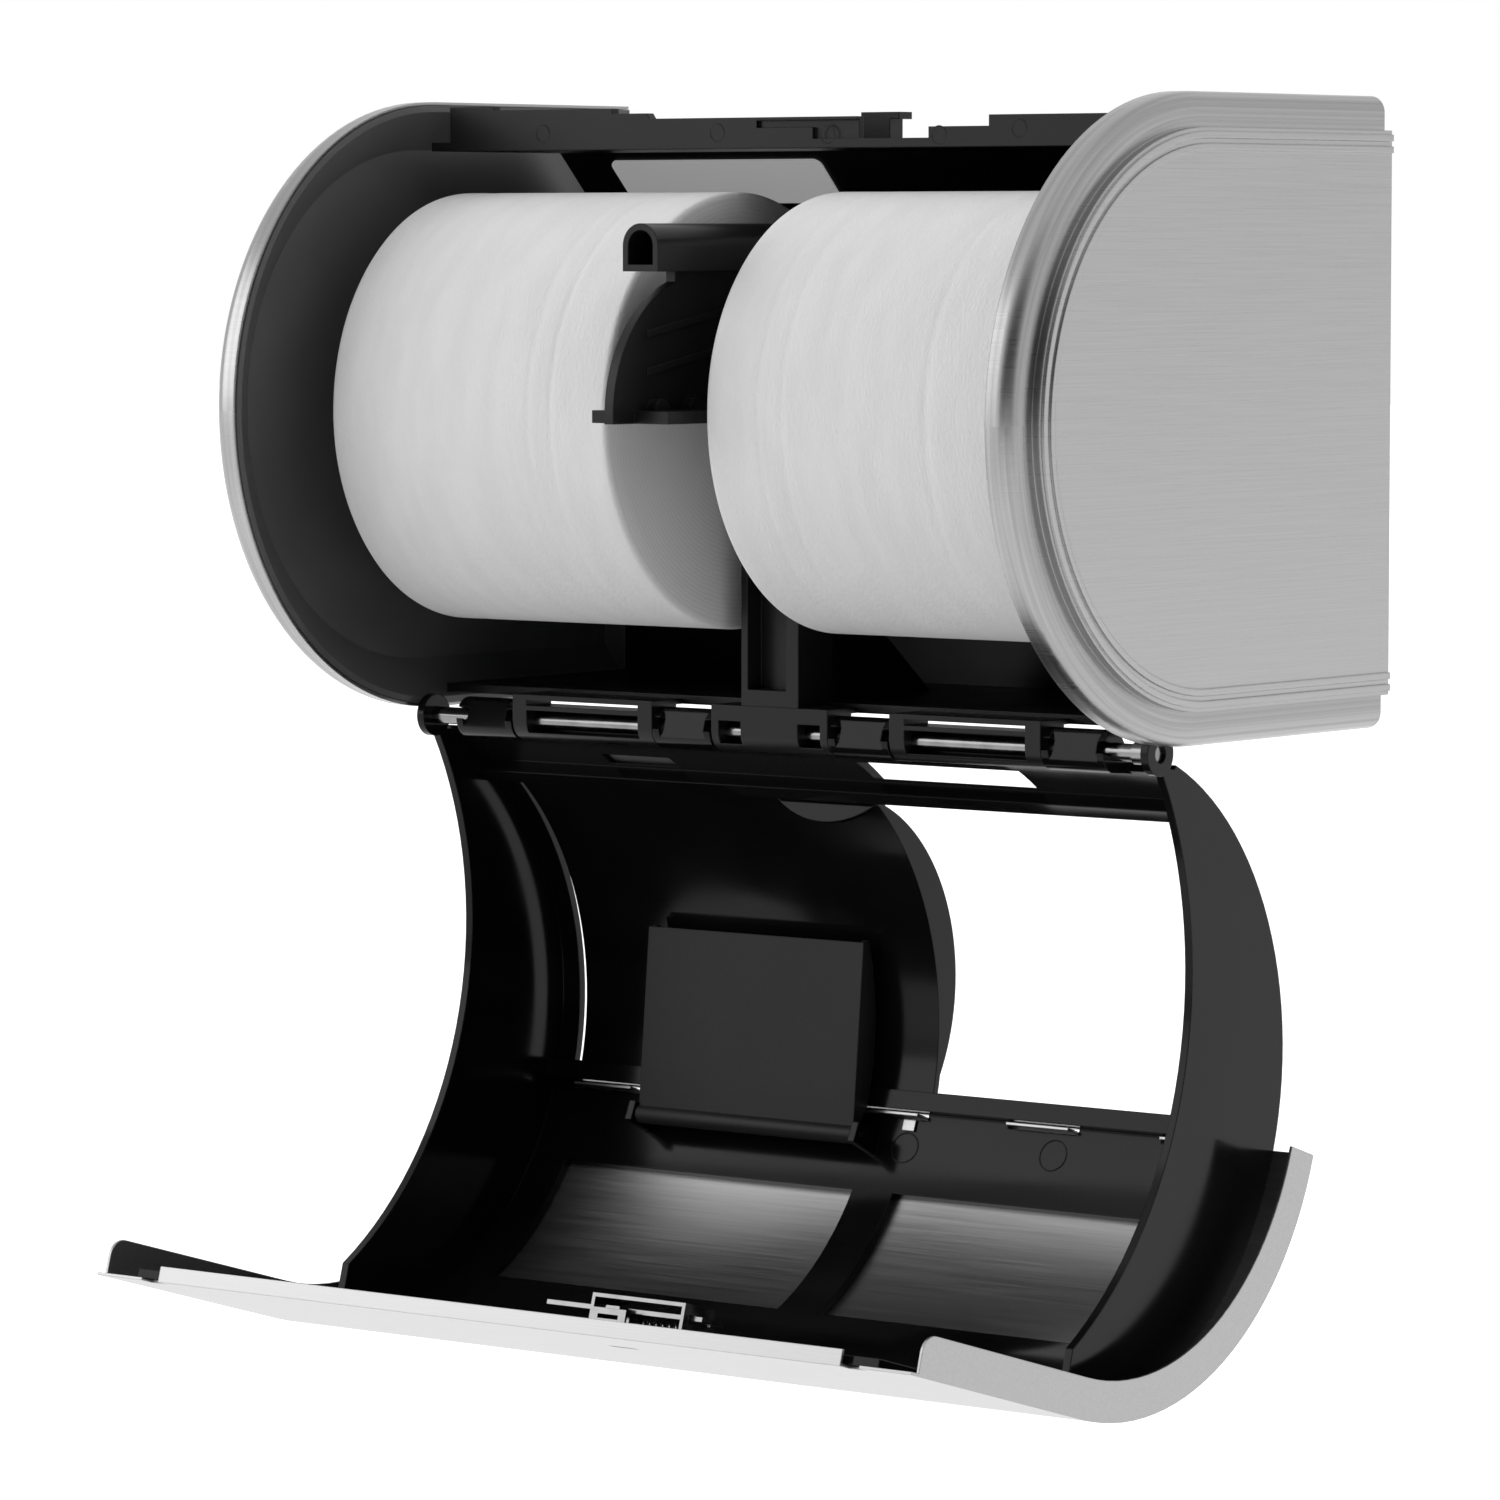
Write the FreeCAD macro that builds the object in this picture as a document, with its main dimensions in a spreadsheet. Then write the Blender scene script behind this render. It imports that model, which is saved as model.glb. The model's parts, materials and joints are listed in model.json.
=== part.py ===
import FreeCAD, Part
import math
import os
import Sketcher

doc = FreeCAD.newDocument("dispenser")

# Driving sizes of the dispenser, millimetres and degrees.
sheet = doc.addObject("Spreadsheet::Sheet", "sizes")

SIZES = [
    # paper rolls
    ("roll_diameter", 120.6),
    ("roll_width", 97.8),
    ("roll_bore", 12.6),
    ("roll_half_gap", 17.0),
    ("axis_depth", 88.0),
    # stainless end caps
    ("end_gap", 12.6),
    ("cap_radius", 86.0),
    ("cap_rim_depth", 8.0),
    ("cap_round", 4.5),
    ("cap_sheet", 0.9),
    ("panel_inset", 9.4),
    ("panel_step", 2.4),
    ("panel_round", 1.1),
    ("bead_width", 1.8),
    ("bead_pitch", 3.2),
    ("bead_height", 0.6),
    # black end walls
    ("seat_gap", 0.1),
    ("end_wall_proud", 0.4),
    ("end_wall_rim", 1.8),
    ("end_wall_floor", 2.2),
    ("end_wall_back", 2.5),
    ("cup_radius", 13.0),
    ("cup_wall", 2.3),
    ("cup_front_gap", 8.4),
    # back chassis
    ("chassis_wall", 2.5),
    ("chassis_end_gap", 0.6),
    ("top_height", 74.5),
    ("bottom_drop", 82.0),
    ("top_reach", 90.0),
    ("bottom_reach", 84.0),
    ("slope_run", 30.0),
    ("slope_corner_share", 0.4142),
    ("slope_tilt", 135.0),
    ("rail_thick", 3.0),
    ("rail_tab_rise", 9.9),
    ("rail_left_rise", 8.9),
    ("rail_step_rise", 7.5),
    ("rail_mid_rise", 6.0),
    ("rail_low_rise", 3.0),
    ("rail_end", 120.0),
    ("rail_tab_end", 104.0),
    ("rail_step_start", 61.1),
    ("rail_slant_start", 48.8),
    ("rail_slant_end", 47.8),
    ("rail_notch_left", 24.0),
    ("rail_notch_right", 48.0),
    ("rail_low_end", 68.0),
    ("rail_groove_left", 10.3),
    ("rail_groove_step", 9.0),
    ("rail_groove_low_rise", 3.1),
    ("rail_groove_high_rise", 5.1),
    ("rail_groove_depth", 1.2),
    ("keeper_x", 7.0),
    ("keeper_width", 10.0),
    ("keeper_reach", 3.2),
    ("keeper_depth", 6.0),
    ("keeper_throat_rise", 6.1),
    ("keeper_top_rise", 8.1),
    ("lock_depth", 37.0),
    ("screw_hole_diameter", 6.0),
    ("screw_spacing_x", 152.4),
    ("screw_spacing_z", 63.5),
    # hinge line
    ("hinge_depth", 92.4),
    ("hinge_drop", 88.06),
    ("rod_diameter", 4.8),
    ("rod_end_gap", 2.0),
    ("rod_swell_diameter", 6.2),
    ("rod_swell_length", 3.2),
    ("press_gap", 0.01),
    ("running_gap", 0.05),
    ("barrel_diameter", 11.0),
    ("barrel_top", 80.5),
    ("centre_barrel_half", 20.0),
    ("knuckle_width", 20.0),
    ("knuckle_rib_width", 2.2),
    ("knuckle_flat", 4.4),
    ("knuckle_notch_width", 3.0),
    ("knuckle_notch_height", 3.4),
    ("knuckle_diameter", 11.6),
    ("knuckle_gap", 0.5),
    ("frame_barrel_width", 50.0),
    ("frame_edge", 5.0),
    ("frame_window", 6.4),
    ("frame_slit", 1.6),
    # centre post
    ("post_half", 9.8),
    ("post_front", 97.5),
    ("post_back", 82.0),
    ("post_top_drop", 22.0),
    ("post_recess_left", 7.6),
    ("post_recess_right", 5.6),
    ("post_recess_low", 76.0),
    ("post_recess_high", 30.0),
    ("post_recess_depth", 6.0),
    ("gusset_half", 2.0),
    ("gusset_rise", 44.0),
    ("gusset_run", 56.0),
    # centre roll arm
    ("arm_web_half", 1.5),
    ("arm_top", 40.5),
    ("arm_foot_half", 14.0),
    ("arm_foot_thick", 3.0),
    ("arm_foot_low", 12.0),
    ("arm_foot_high", 40.0),
    ("arm_screw_diameter", 4.0),
    ("arm_screw_head", 8.0),
    ("arm_screw_head_thick", 2.4),
    ("arm_screw_x", 8.5),
    ("arm_screw_z", 26.0),
    ("arm_nose_depth", 130.0),
    ("arm_nose_radius", 37.5),
    ("arm_front", 141.0),
    ("arm_flange_half", 13.0),
    ("arm_flange_thick", 3.4),
    ("arm_flange_front", 158.5),
    ("arm_flange_back", 112.0),
    ("arm_tube_half", 6.0),
    ("arm_tube_side", 5.0),
    ("arm_tube_wall", 1.8),
    ("arm_tube_front", 154.0),
    ("arm_tube_hollow", 70.0),
    ("arm_rib_proud", 0.9),
    ("arm_rib_width", 1.8),
    ("arm_rib_front", 154.0),
    ("arm_rib_back", 120.0),
    ("arm_rib_rise", 6.0),
    ("arm_rib_low", 11.0),
    ("arm_rib_high", 21.0),
    ("arm_boss_radius", 3.2),
    ("arm_boss_front", 150.0),
    ("arm_boss_pitch", 15.0),
    ("arm_boss_length", 3.0),
    ("hub_disc_radius", 11.0),
    ("hub_end_gap", 0.4),
    ("nose_diameter", 12.4),
    ("nose_length", 7.8),
    # outer hubs
    ("plunger_diameter", 18.0),
    ("plunger_length", 10.2),
    ("plunger_front_wall", 2.0),
    ("plunger_flange_diameter", 21.0),
    ("plunger_flange_thick", 2.0),
    ("plunger_bore", 14.4),
    ("plunger_gap", 0.6),
    ("collar_thick", 2.2),
    ("hub_spring_wire", 0.9),
    ("hub_spring_radius", 6.1),
    ("spring_end_gap", 0.25),
    # cover
    ("open_angle", 164.0),
    ("skin_sheet", 0.8),
    ("skin_gap", 0.1),
    ("skin_inner_radius", 87.8),
    ("skin_side_gap", 2.2),
    ("skin_flange_height", 11.0),
    ("skin_end_angle", 177.8),
    ("skin_lip_depth", 11.0),
    ("skin_lip_height", 4.4),
    ("skin_lip_half", 116.0),
    ("skin_flange_end", 14.0),
    ("skin_flange_round", 5.0),
    ("skin_notch_depth", 4.0),
    ("skin_notch_width", 6.0),
    ("tab_width", 21.0),
    ("tab_reach", 3.4),
    ("tab_pitch", 51.5),
    ("tab_slot_width", 24.0),
    ("tab_angle", 0.53),
    ("tab_slot_angle", 0.35),
    ("liner_thick", 2.4),
    ("liner_side_gap", 1.4),
    ("liner_start_angle", 262.0),
    ("liner_end_depth", 13.6),
    ("cheek_thick", 2.4),
    ("cheek_end_depth", 97.0),
    ("cheek_end_height", 70.0),
    ("cheek_foot_depth", 93.5),
    ("cheek_foot_drop", 84.5),
    ("cheek_arc_depth", 19.6),
    ("cheek_arc_drop", 6.0),
    ("ear_radius", 6.0),
    ("opening_half", 113.5),
    ("opening_door_gap", 4.4),
    ("opening_low_angle", 247.5),
    ("opening_high_angle", 181.5),
    ("window_start", 7.0),
    ("window_end", 111.0),
    ("window_low_angle", 162.0),
    ("window_high_angle", 131.0),
    ("strip_slot_start", 17.5),
    ("strip_slot_end", 72.5),
    ("strip_slot_low", 87.9),
    ("strip_slot_height", 4.4),
    ("strip_slot_front", 126.0),
    ("strip_slot_back", 98.0),
    ("strip_slot_slope_share", 0.198),
    ("strip_vent_start", 51.0),
    ("strip_vent_end", 75.4),
    ("strip_vent_height", 2.4),
    ("key_slot_length", 9.0),
    ("key_slot_width", 2.4),
    # sliding door and its guides
    ("door_thick", 2.0),
    ("door_gap", 0.3),
    ("door_left", 113.0),
    ("door_right", 14.0),
    ("door_low_angle", 249.4),
    ("door_high_angle", 179.8),
    ("guide_lip", 1.4),
    ("guide_clear_angle", 0.3),
    ("guide_rib_angle", 1.2),
    ("guide_hold_angle", 2.6),
    ("grip_low_angle", 245.0),
    ("grip_high_angle", 184.0),
    ("grip_bulge", 8.0),
    ("grip_thick", 1.8),
    ("thumb_centre", 3.0),
    ("thumb_half", 19.0),
    ("thumb_reach", 7.4),
    ("thumb_thick", 1.8),
    ("thumb_depth", 121.8),
    # flap over the door
    ("pivot_radius", 77.5),
    ("pivot_angle", 171.5),
    ("flap_tip_radius", 78.5),
    ("flap_tip_angle", 212.0),
    ("flap_left", 83.0),
    ("flap_right", 6.0),
    ("flap_thick", 2.0),
    ("flap_skirt_radius", 80.2),
    ("flap_skirt_angle", 178.0),
    ("flap_knuckle_radius", 2.7),
    ("pin_diameter", 2.4),
    ("ear_gap", 0.4),
    ("flap_ear_thick", 2.2),
    ("flap_ear_angle", 2.2),
    ("flap_ear_reach", 3.2),
    ("pin_end", 0.6),
    # lock
    ("bracket_sheet", 1.0),
    ("bracket_left", 12.0),
    ("bracket_foot", 6.5),
    ("bracket_span", 31.0),
    ("bracket_height", 9.6),
    ("bracket_width", 14.0),
    ("latch_thick", 1.2),
    ("latch_width", 9.0),
    ("latch_tip_gap", 0.5),
    ("latch_length", 52.0),
    ("latch_drop", 6.0),
    ("latch_slot_gap", 0.35),
    ("latch_stop_inset", 25.0),
    ("latch_stop_thick", 1.2),
    ("latch_stop_height", 4.2),
    ("latch_spring_wire", 0.6),
    ("latch_spring_radius", 1.6),
    ("latch_spring_turn_count", 8),
    ("rivet_diameter", 3.0),
    ("rivet_head_diameter", 5.4),
    ("rivet_head_thick", 1.0),
    # bare label plate
    ("label_left", 110.0),
    ("label_width", 76.0),
    ("label_height", 17.0),
    ("label_thick", 0.6),
    ("label_round", 2.5),
    ("label_inset", 3.0),
]

for row, (alias, value) in enumerate(SIZES, start=1):
    sheet.set("A%d" % row, alias)
    sheet.set("B%d" % row, str(value))
    sheet.setAlias("B%d" % row, alias)
doc.recompute()


class Size:
    """A size with its present value and the sheet expression that drives it."""

    def __init__(self, value, text):
        self.value = float(value)
        self.text = text

    def __add__(self, other):
        other = as_size(other)
        return Size(self.value + other.value, "(%s + %s)" % (self.text, other.text))

    def __sub__(self, other):
        other = as_size(other)
        return Size(self.value - other.value, "(%s - %s)" % (self.text, other.text))

    def __mul__(self, other):
        other = as_size(other)
        return Size(self.value * other.value, "(%s * %s)" % (self.text, other.text))

    def __truediv__(self, other):
        other = as_size(other)
        return Size(self.value / other.value, "(%s / %s)" % (self.text, other.text))

    def __neg__(self):
        return Size(-self.value, "(0 - %s)" % self.text)


def as_size(thing):
    return thing if isinstance(thing, Size) else Size(thing, repr(thing))


def cosine(angle):
    return Size(math.cos(math.radians(angle.value)), "cos(%s)" % angle.text)


def sine(angle):
    return Size(math.sin(math.radians(angle.value)), "sin(%s)" % angle.text)


def root(square):
    return Size(math.sqrt(square.value), "sqrt(%s)" % square.text)


size = {alias: Size(sheet.get(alias), "sizes.%s" % alias) for alias, value in SIZES}
ZERO = Size(0, "0")
NEAR_SHARE = 0.01

ROLES = {"XY": "XY_Plane", "XZ": "XZ_Plane", "YZ": "YZ_Plane"}


def new_body(label):
    body = doc.addObject("PartDesign::Body", label)
    body.Label = label
    return body


def pin_point(sketch, number, end, point):
    """Fixes one sketch point at driven distances from the sketch origin."""
    for kind, axis, place in (("DistanceX", -2, point[0]), ("DistanceY", -1, point[1])):
        if place.text == "0":
            sketch.addConstraint(Sketcher.Constraint("PointOnObject", number, end, axis))
            continue
        made = Sketcher.Constraint(kind, -1, 1, number, end, place.value)
        index = sketch.addConstraint(made)
        sketch.setExpression("Constraints[%d]" % index, place.text)


def draw_circle(sketch, centre, radius):
    middle = FreeCAD.Vector(centre[0].value, centre[1].value, 0)
    ring = Part.Circle(middle, FreeCAD.Vector(0, 0, 1), radius.value)
    number = sketch.addGeometry(ring, False)
    index = sketch.addConstraint(Sketcher.Constraint("Radius", number, radius.value))
    sketch.setExpression("Constraints[%d]" % index, radius.text)
    pin_point(sketch, number, 3, centre)


def draw_outline(sketch, outline):
    """Closed outline: points, and arcs given as (end point, centre, turn)."""
    start = outline[0]
    here = start
    pieces = []
    ends_at_start = len(outline[-1]) == 3 and outline[-1][0] is start
    for step in list(outline[1:]) + ([] if ends_at_start else [start]):
        if len(step) == 3:
            there, centre, turn = step
            pieces.append(draw_arc(sketch, here, there, centre, turn))
        else:
            there = step
            line = Part.LineSegment(
                FreeCAD.Vector(here[0].value, here[1].value, 0),
                FreeCAD.Vector(there[0].value, there[1].value, 0),
            )
            pieces.append((sketch.addGeometry(line, False), 1, 2))
        pin_point(sketch, pieces[-1][0], pieces[-1][1], here)
        here = there
    for (number, first, last), (after, after_first, after_last) in zip(
        pieces, pieces[1:] + pieces[:1]
    ):
        sketch.addConstraint(
            Sketcher.Constraint("Coincident", number, last, after, after_first)
        )


def draw_arc(sketch, here, there, centre, turn):
    """Arc about a driven centre; turn is 1 for anticlockwise, -1 for clockwise."""
    first = here if turn > 0 else there
    last = there if turn > 0 else here
    middle = FreeCAD.Vector(centre[0].value, centre[1].value, 0)
    ends = []
    for point in (first, last):
        ends.append(
            math.atan2(point[1].value - middle.y, point[0].value - middle.x)
        )
    if ends[1] <= ends[0]:
        ends[1] += 2 * math.pi
    radius = math.hypot(first[0].value - middle.x, first[1].value - middle.y)
    ring = Part.Circle(middle, FreeCAD.Vector(0, 0, 1), radius)
    number = sketch.addGeometry(Part.ArcOfCircle(ring, ends[0], ends[1]), False)
    across = abs(here[0].value - there[0].value)
    up = abs(here[1].value - there[1].value)
    kind, place = ("DistanceX", centre[0]) if up > across else ("DistanceY", centre[1])
    axis = -2 if up > across else -1
    if place.text == "0":
        sketch.addConstraint(Sketcher.Constraint("PointOnObject", number, 3, axis))
    else:
        made = Sketcher.Constraint(kind, -1, 1, number, 3, place.value)
        index = sketch.addConstraint(made)
        sketch.setExpression("Constraints[%d]" % index, place.text)
    return (number, 1, 2) if turn > 0 else (number, 2, 1)


def new_sketch(body, plane, offset):
    """Sketch on one of the body's own origin planes, a driven distance along its normal."""
    sketch = body.newObject("Sketcher::SketchObject", body.Label + "_sketch")
    support = [one for one in body.Origin.OriginFeatures if one.Role == ROLES[plane]]
    sketch.AttachmentSupport = [(support[0], "")]
    sketch.MapMode = "FlatFace"
    sketch.setExpression("AttachmentOffset.Base.z", offset.text)
    doc.recompute()
    return sketch


def draw(sketch, outlines):
    for outline in outlines:
        if len(outline) == 2 and isinstance(outline[1], Size):
            draw_circle(sketch, outline[0], outline[1])
        else:
            draw_outline(sketch, outline)


def prism(body, plane, outlines, start, end, cut=False):
    """Pads or cuts closed outlines from start to end along the plane's normal."""
    before = body.Shape.Volume if body.Tip else 0
    sketch = new_sketch(body, plane, start)
    draw(sketch, outlines)
    kind = "PartDesign::Pocket" if cut else "PartDesign::Pad"
    feature = body.newObject(kind, body.Label + ("_cut" if cut else "_pad"))
    feature.Profile = sketch
    feature.Reversed = cut
    feature.setExpression("Length", (end - start).text)
    sketch.Visibility = False
    doc.recompute()
    after = body.Shape.Volume
    if not body.Shape.isValid() or (after >= before if cut else after <= before):
        raise RuntimeError("%s on %s changed nothing" % (feature.Name, body.Label))
    return feature


def loft_cut(body, plane, near, near_place, far, far_place):
    """Cuts a drafted hollow between two outlines."""
    before = body.Shape.Volume
    first = new_sketch(body, plane, near_place)
    draw(first, [near])
    second = new_sketch(body, plane, far_place)
    draw(second, [far])
    feature = body.newObject("PartDesign::SubtractiveLoft", body.Label + "_hollow")
    feature.Profile = first
    feature.Sections = [second]
    feature.Ruled = True
    doc.recompute()
    if not body.Shape.isValid() or body.Shape.Volume >= before:
        raise RuntimeError("hollow failed on " + body.Label)


def round_edges(body, radius, wanted):
    """Rounds the tip's edges whose two ends and middle pass the test."""
    tip = body.Tip
    names = []
    for number, edge in enumerate(tip.Shape.Edges, start=1):
        middle = edge.valueAt((edge.FirstParameter + edge.LastParameter) / 2)
        if wanted([vertex.Point for vertex in edge.Vertexes] + [middle]):
            names.append("Edge%d" % number)
    feature = body.newObject("PartDesign::Fillet", body.Label + "_round")
    feature.Base = (tip, names)
    feature.setExpression("Radius", radius.text)
    doc.recompute()
    if not names or not body.Shape.isValid():
        raise RuntimeError("rounding failed on " + body.Label)


def hollow_out(body, gauge, mouth):
    """Leaves a sheet of one gauge, open at the mouth across X and at the wall."""
    tip = body.Tip
    names = []
    for number, face in enumerate(tip.Shape.Faces, start=1):
        points = [vertex.Point for vertex in face.Vertexes]
        at_mouth = all(abs(point.x - mouth) < NEAR_SHARE for point in points)
        if at_mouth or all(abs(point.y) < NEAR_SHARE for point in points):
            names.append("Face%d" % number)
    feature = body.newObject("PartDesign::Thickness", body.Label + "_sheet")
    feature.Base = (tip, names)
    feature.setExpression("Value", gauge.text)
    feature.Reversed = True
    doc.recompute()
    if not body.Shape.isValid() or body.Shape.Volume >= tip.Shape.Volume:
        raise RuntimeError("sheet failed on " + body.Label)


def spans(side, near, far):
    """Start and end along X of a span that lies on one side of the middle."""
    return (near, far) if side > 0 else (-far, -near)


def box_outline(left, right, low, high):
    return [(left, low), (right, low), (right, high), (left, high)]


AXIS = (-size["axis_depth"], ZERO)
HINGE = (-size["hinge_depth"], -size["hinge_drop"])


def d_outline(radius, back):
    """Half round toward the front with straight flats back to the wall."""
    return [
        (back, radius),
        (AXIS[0], radius),
        ((AXIS[0], -radius), AXIS, 1),
        (back, -radius),
    ]


def polar(radius, angle):
    """Point in the side view about the roll axis."""
    return (AXIS[0] + radius * cosine(angle), radius * sine(angle))


def sector(inner, outer, low_angle, high_angle):
    """Slice of a ring about the roll axis, from the lower to the upper angle."""
    return [
        polar(outer, low_angle),
        (polar(outer, high_angle), AXIS, 1),
        polar(inner, high_angle),
        (polar(inner, low_angle), AXIS, -1),
    ]


roll_end = size["roll_half_gap"] + size["roll_width"]
rim_x = roll_end + size["end_gap"]
band_x = rim_x + size["cap_rim_depth"]
panel_x = band_x + size["panel_step"]
panel_radius = size["cap_radius"] - size["panel_inset"]


def flat_at(x, back):
    """Test for edges in one plane across X, leaving out those on the back."""

    def wanted(points):
        if any(abs(point.x - x) > NEAR_SHARE for point in points):
            return False
        return not all(abs(point.y - back) < NEAR_SHARE for point in points)

    return wanted


def end_cap(label, side):
    """Pressed stainless end cap, open toward the wall and the rolls."""
    body = new_body(label)
    sheet_gauge = size["cap_sheet"]
    start, end = spans(side, rim_x, band_x)
    prism(body, "YZ", [d_outline(size["cap_radius"], ZERO)], start, end)
    round_edges(body, size["cap_round"], flat_at(side * band_x.value, 0))
    start, end = spans(side, band_x - sheet_gauge, panel_x)
    prism(body, "YZ", [d_outline(panel_radius, ZERO)], start, end)
    hollow_out(body, sheet_gauge, rim_x.value * side)
    for ring in range(2):
        outer = panel_radius - size["panel_round"] - size["bead_pitch"] * ring
        start, end = spans(side, panel_x - sheet_gauge / 2, panel_x + size["bead_height"])
        prism(body, "YZ", [bead_strip(outer, outer - size["bead_width"])], start, end)
    return body


def bead_strip(outer, inner):
    """Band between two D outlines, open at the wall."""
    return [
        (ZERO, outer),
        (AXIS[0], outer),
        ((AXIS[0], -outer), AXIS, 1),
        (ZERO, -outer),
        (ZERO, -inner),
        (AXIS[0], -inner),
        ((AXIS[0], inner), AXIS, -1),
        (ZERO, inner),
    ]


for label, side in (("left_end_cap", -1), ("right_end_cap", 1)):
    end_cap(label, side)


def end_wall(label, side):
    """Moulded tray behind each cap, drafted inside, with a cup for the roll hub."""
    body = new_body(label)
    start, end = spans(side, wall_front, wall_step)
    prism(body, "YZ", [d_outline(wall_radius, ZERO)], start, end)
    round_edges(body, size["cap_round"], flat_at(side * wall_step.value, 0))
    start, end = spans(side, wall_step - size["end_wall_floor"], wall_deep)
    prism(body, "YZ", [d_outline(well_radius, ZERO)], start, end)
    back = -size["end_wall_back"]
    mouth = d_outline(wall_radius - size["end_wall_rim"], back)
    floor = d_outline(well_radius - size["end_wall_floor"], back)
    loft_cut(body, "YZ", mouth, mirror(side, wall_front), floor, mirror(side, floor_x))
    start, end = spans(side, cup_front, floor_x + size["end_wall_floor"] / 2)
    cup = [(AXIS, size["cup_radius"]), (AXIS, size["cup_radius"] - size["cup_wall"])]
    prism(body, "YZ", cup, start, end)
    return body


def mirror(side, place):
    return place if side > 0 else -place


wall_front = rim_x - size["end_wall_proud"]
wall_step = band_x - size["cap_sheet"] - size["seat_gap"]
wall_deep = panel_x - size["cap_sheet"] - size["seat_gap"]
wall_radius = size["cap_radius"] - size["cap_sheet"] - size["seat_gap"]
well_radius = panel_radius - size["cap_sheet"] - size["panel_round"]
floor_x = wall_deep - size["end_wall_floor"]
cup_front = roll_end + size["cup_front_gap"]

for label, side in (("left_end_wall", -1), ("right_end_wall", 1)):
    end_wall(label, side)

# Back chassis: one moulding with the walls, rail, keeper, hinge barrels and post.
chassis = new_body("back_chassis")
gauge = size["chassis_wall"]
chassis_half = rim_x - size["chassis_end_gap"]
ceiling = size["top_height"] - gauge
floor_top = size["bottom_drop"] - gauge
corner = gauge * size["slope_corner_share"]
prism(
    chassis,
    "YZ",
    [
        [
            (ZERO, -size["bottom_drop"]),
            (-size["bottom_reach"], -size["bottom_drop"]),
            (-size["bottom_reach"], -floor_top),
            (-gauge, -floor_top),
            (-gauge, ceiling - size["slope_run"]),
            (-(gauge + size["slope_run"]), ceiling),
            (-size["top_reach"], ceiling),
            (-size["top_reach"], size["top_height"]),
            (corner - gauge - size["slope_run"], size["top_height"]),
            (ZERO, ceiling - size["slope_run"] + corner),
        ]
    ],
    -chassis_half,
    chassis_half,
)
top = size["top_height"]
rail_tab = top + size["rail_tab_rise"]
rail_left = top + size["rail_left_rise"]
rail_step = top + size["rail_step_rise"]
rail_mid = top + size["rail_mid_rise"]
rail_low = top + size["rail_low_rise"]
prism(
    chassis,
    "XZ",
    [
        [
            (-size["rail_end"], ceiling),
            (size["rail_end"], ceiling),
            (size["rail_end"], rail_mid),
            (size["rail_low_end"], rail_mid),
            (size["rail_low_end"], rail_low),
            (size["rail_notch_right"], rail_low),
            (size["rail_notch_right"], top),
            (size["rail_notch_left"], top),
            (size["rail_notch_left"], rail_mid),
            (-size["rail_slant_end"], rail_mid),
            (-size["rail_slant_start"], rail_step),
            (-size["rail_step_start"], rail_step),
            (-size["rail_step_start"], rail_left),
            (-size["rail_tab_end"], rail_left),
            (-size["rail_tab_end"], rail_tab),
            (-size["rail_end"], rail_tab),
        ]
    ],
    size["top_reach"] - size["rail_thick"],
    size["top_reach"],
)
groove_low = top + size["rail_groove_low_rise"]
groove_high = top + size["rail_groove_high_rise"]
groove = [
    (-size["rail_groove_left"], groove_low),
    (size["rail_groove_step"], groove_low),
    (size["rail_groove_step"], top),
    (size["rail_notch_left"], top),
    (size["rail_notch_left"], groove_high),
    (-size["rail_groove_left"], groove_high),
]
groove_back = size["top_reach"] - size["rail_groove_depth"]
prism(chassis, "XZ", [groove], groove_back, size["top_reach"], True)

keeper_left = -(size["keeper_x"] + size["keeper_width"] / 2)
keeper_side = keeper_left + size["keeper_width"]
keeper_right = keeper_side + size["keeper_reach"]
keeper_throat = top + size["keeper_throat_rise"]
keeper_top = top + size["keeper_top_rise"]
prism(
    chassis,
    "XZ",
    [
        [
            (keeper_left, ceiling),
            (keeper_side, ceiling),
            (keeper_side, keeper_throat),
            (keeper_right, keeper_throat),
            (keeper_right, keeper_top),
            (keeper_left, keeper_top),
        ]
    ],
    size["lock_depth"] - size["keeper_depth"] / 2,
    size["lock_depth"] + size["keeper_depth"] / 2,
)

barrel_radius = size["barrel_diameter"] / 2
barrel_front = HINGE[0] - barrel_radius
barrel_back = HINGE[0] + barrel_radius
barrel = [
    (barrel_front, HINGE[1]),
    ((barrel_back, HINGE[1]), HINGE, 1),
    (barrel_back, -size["bottom_drop"]),
    (gauge - size["bottom_reach"], -size["bottom_drop"]),
    (gauge - size["bottom_reach"], -size["barrel_top"]),
    (barrel_front, -size["barrel_top"]),
]
prism(chassis, "YZ", [barrel], -size["centre_barrel_half"], size["centre_barrel_half"])
inner_knuckle = size["centre_barrel_half"] + size["knuckle_gap"]
frame_start = inner_knuckle + size["knuckle_width"] + size["knuckle_gap"]
frame_end = frame_start + size["frame_barrel_width"]
outer_knuckle = frame_end + size["knuckle_gap"]
for side in (-1, 1):
    start, end = spans(side, frame_start, frame_end)
    prism(chassis, "YZ", [barrel], start, end)
post = box_outline(
    -size["post_half"], size["post_half"], -size["post_front"], -size["post_back"]
)
prism(chassis, "XY", [post], HINGE[1], -size["post_top_drop"])
recess = box_outline(
    -size["post_recess_left"],
    size["post_recess_right"],
    -size["post_recess_low"],
    -size["post_recess_high"],
)
recess_back = size["post_front"] - size["post_recess_depth"]
prism(chassis, "XZ", [recess], recess_back, size["post_front"], True)
gusset = [
    (-size["post_back"] - gauge, -floor_top - gauge),
    (size["gusset_run"] - size["post_back"], -floor_top - gauge),
    (size["gusset_run"] - size["post_back"], -floor_top),
    (-size["post_back"], size["gusset_rise"] - floor_top),
    (-size["post_back"] - gauge, size["gusset_rise"] - floor_top),
]
prism(chassis, "YZ", [gusset], -size["gusset_half"], size["gusset_half"])

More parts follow.
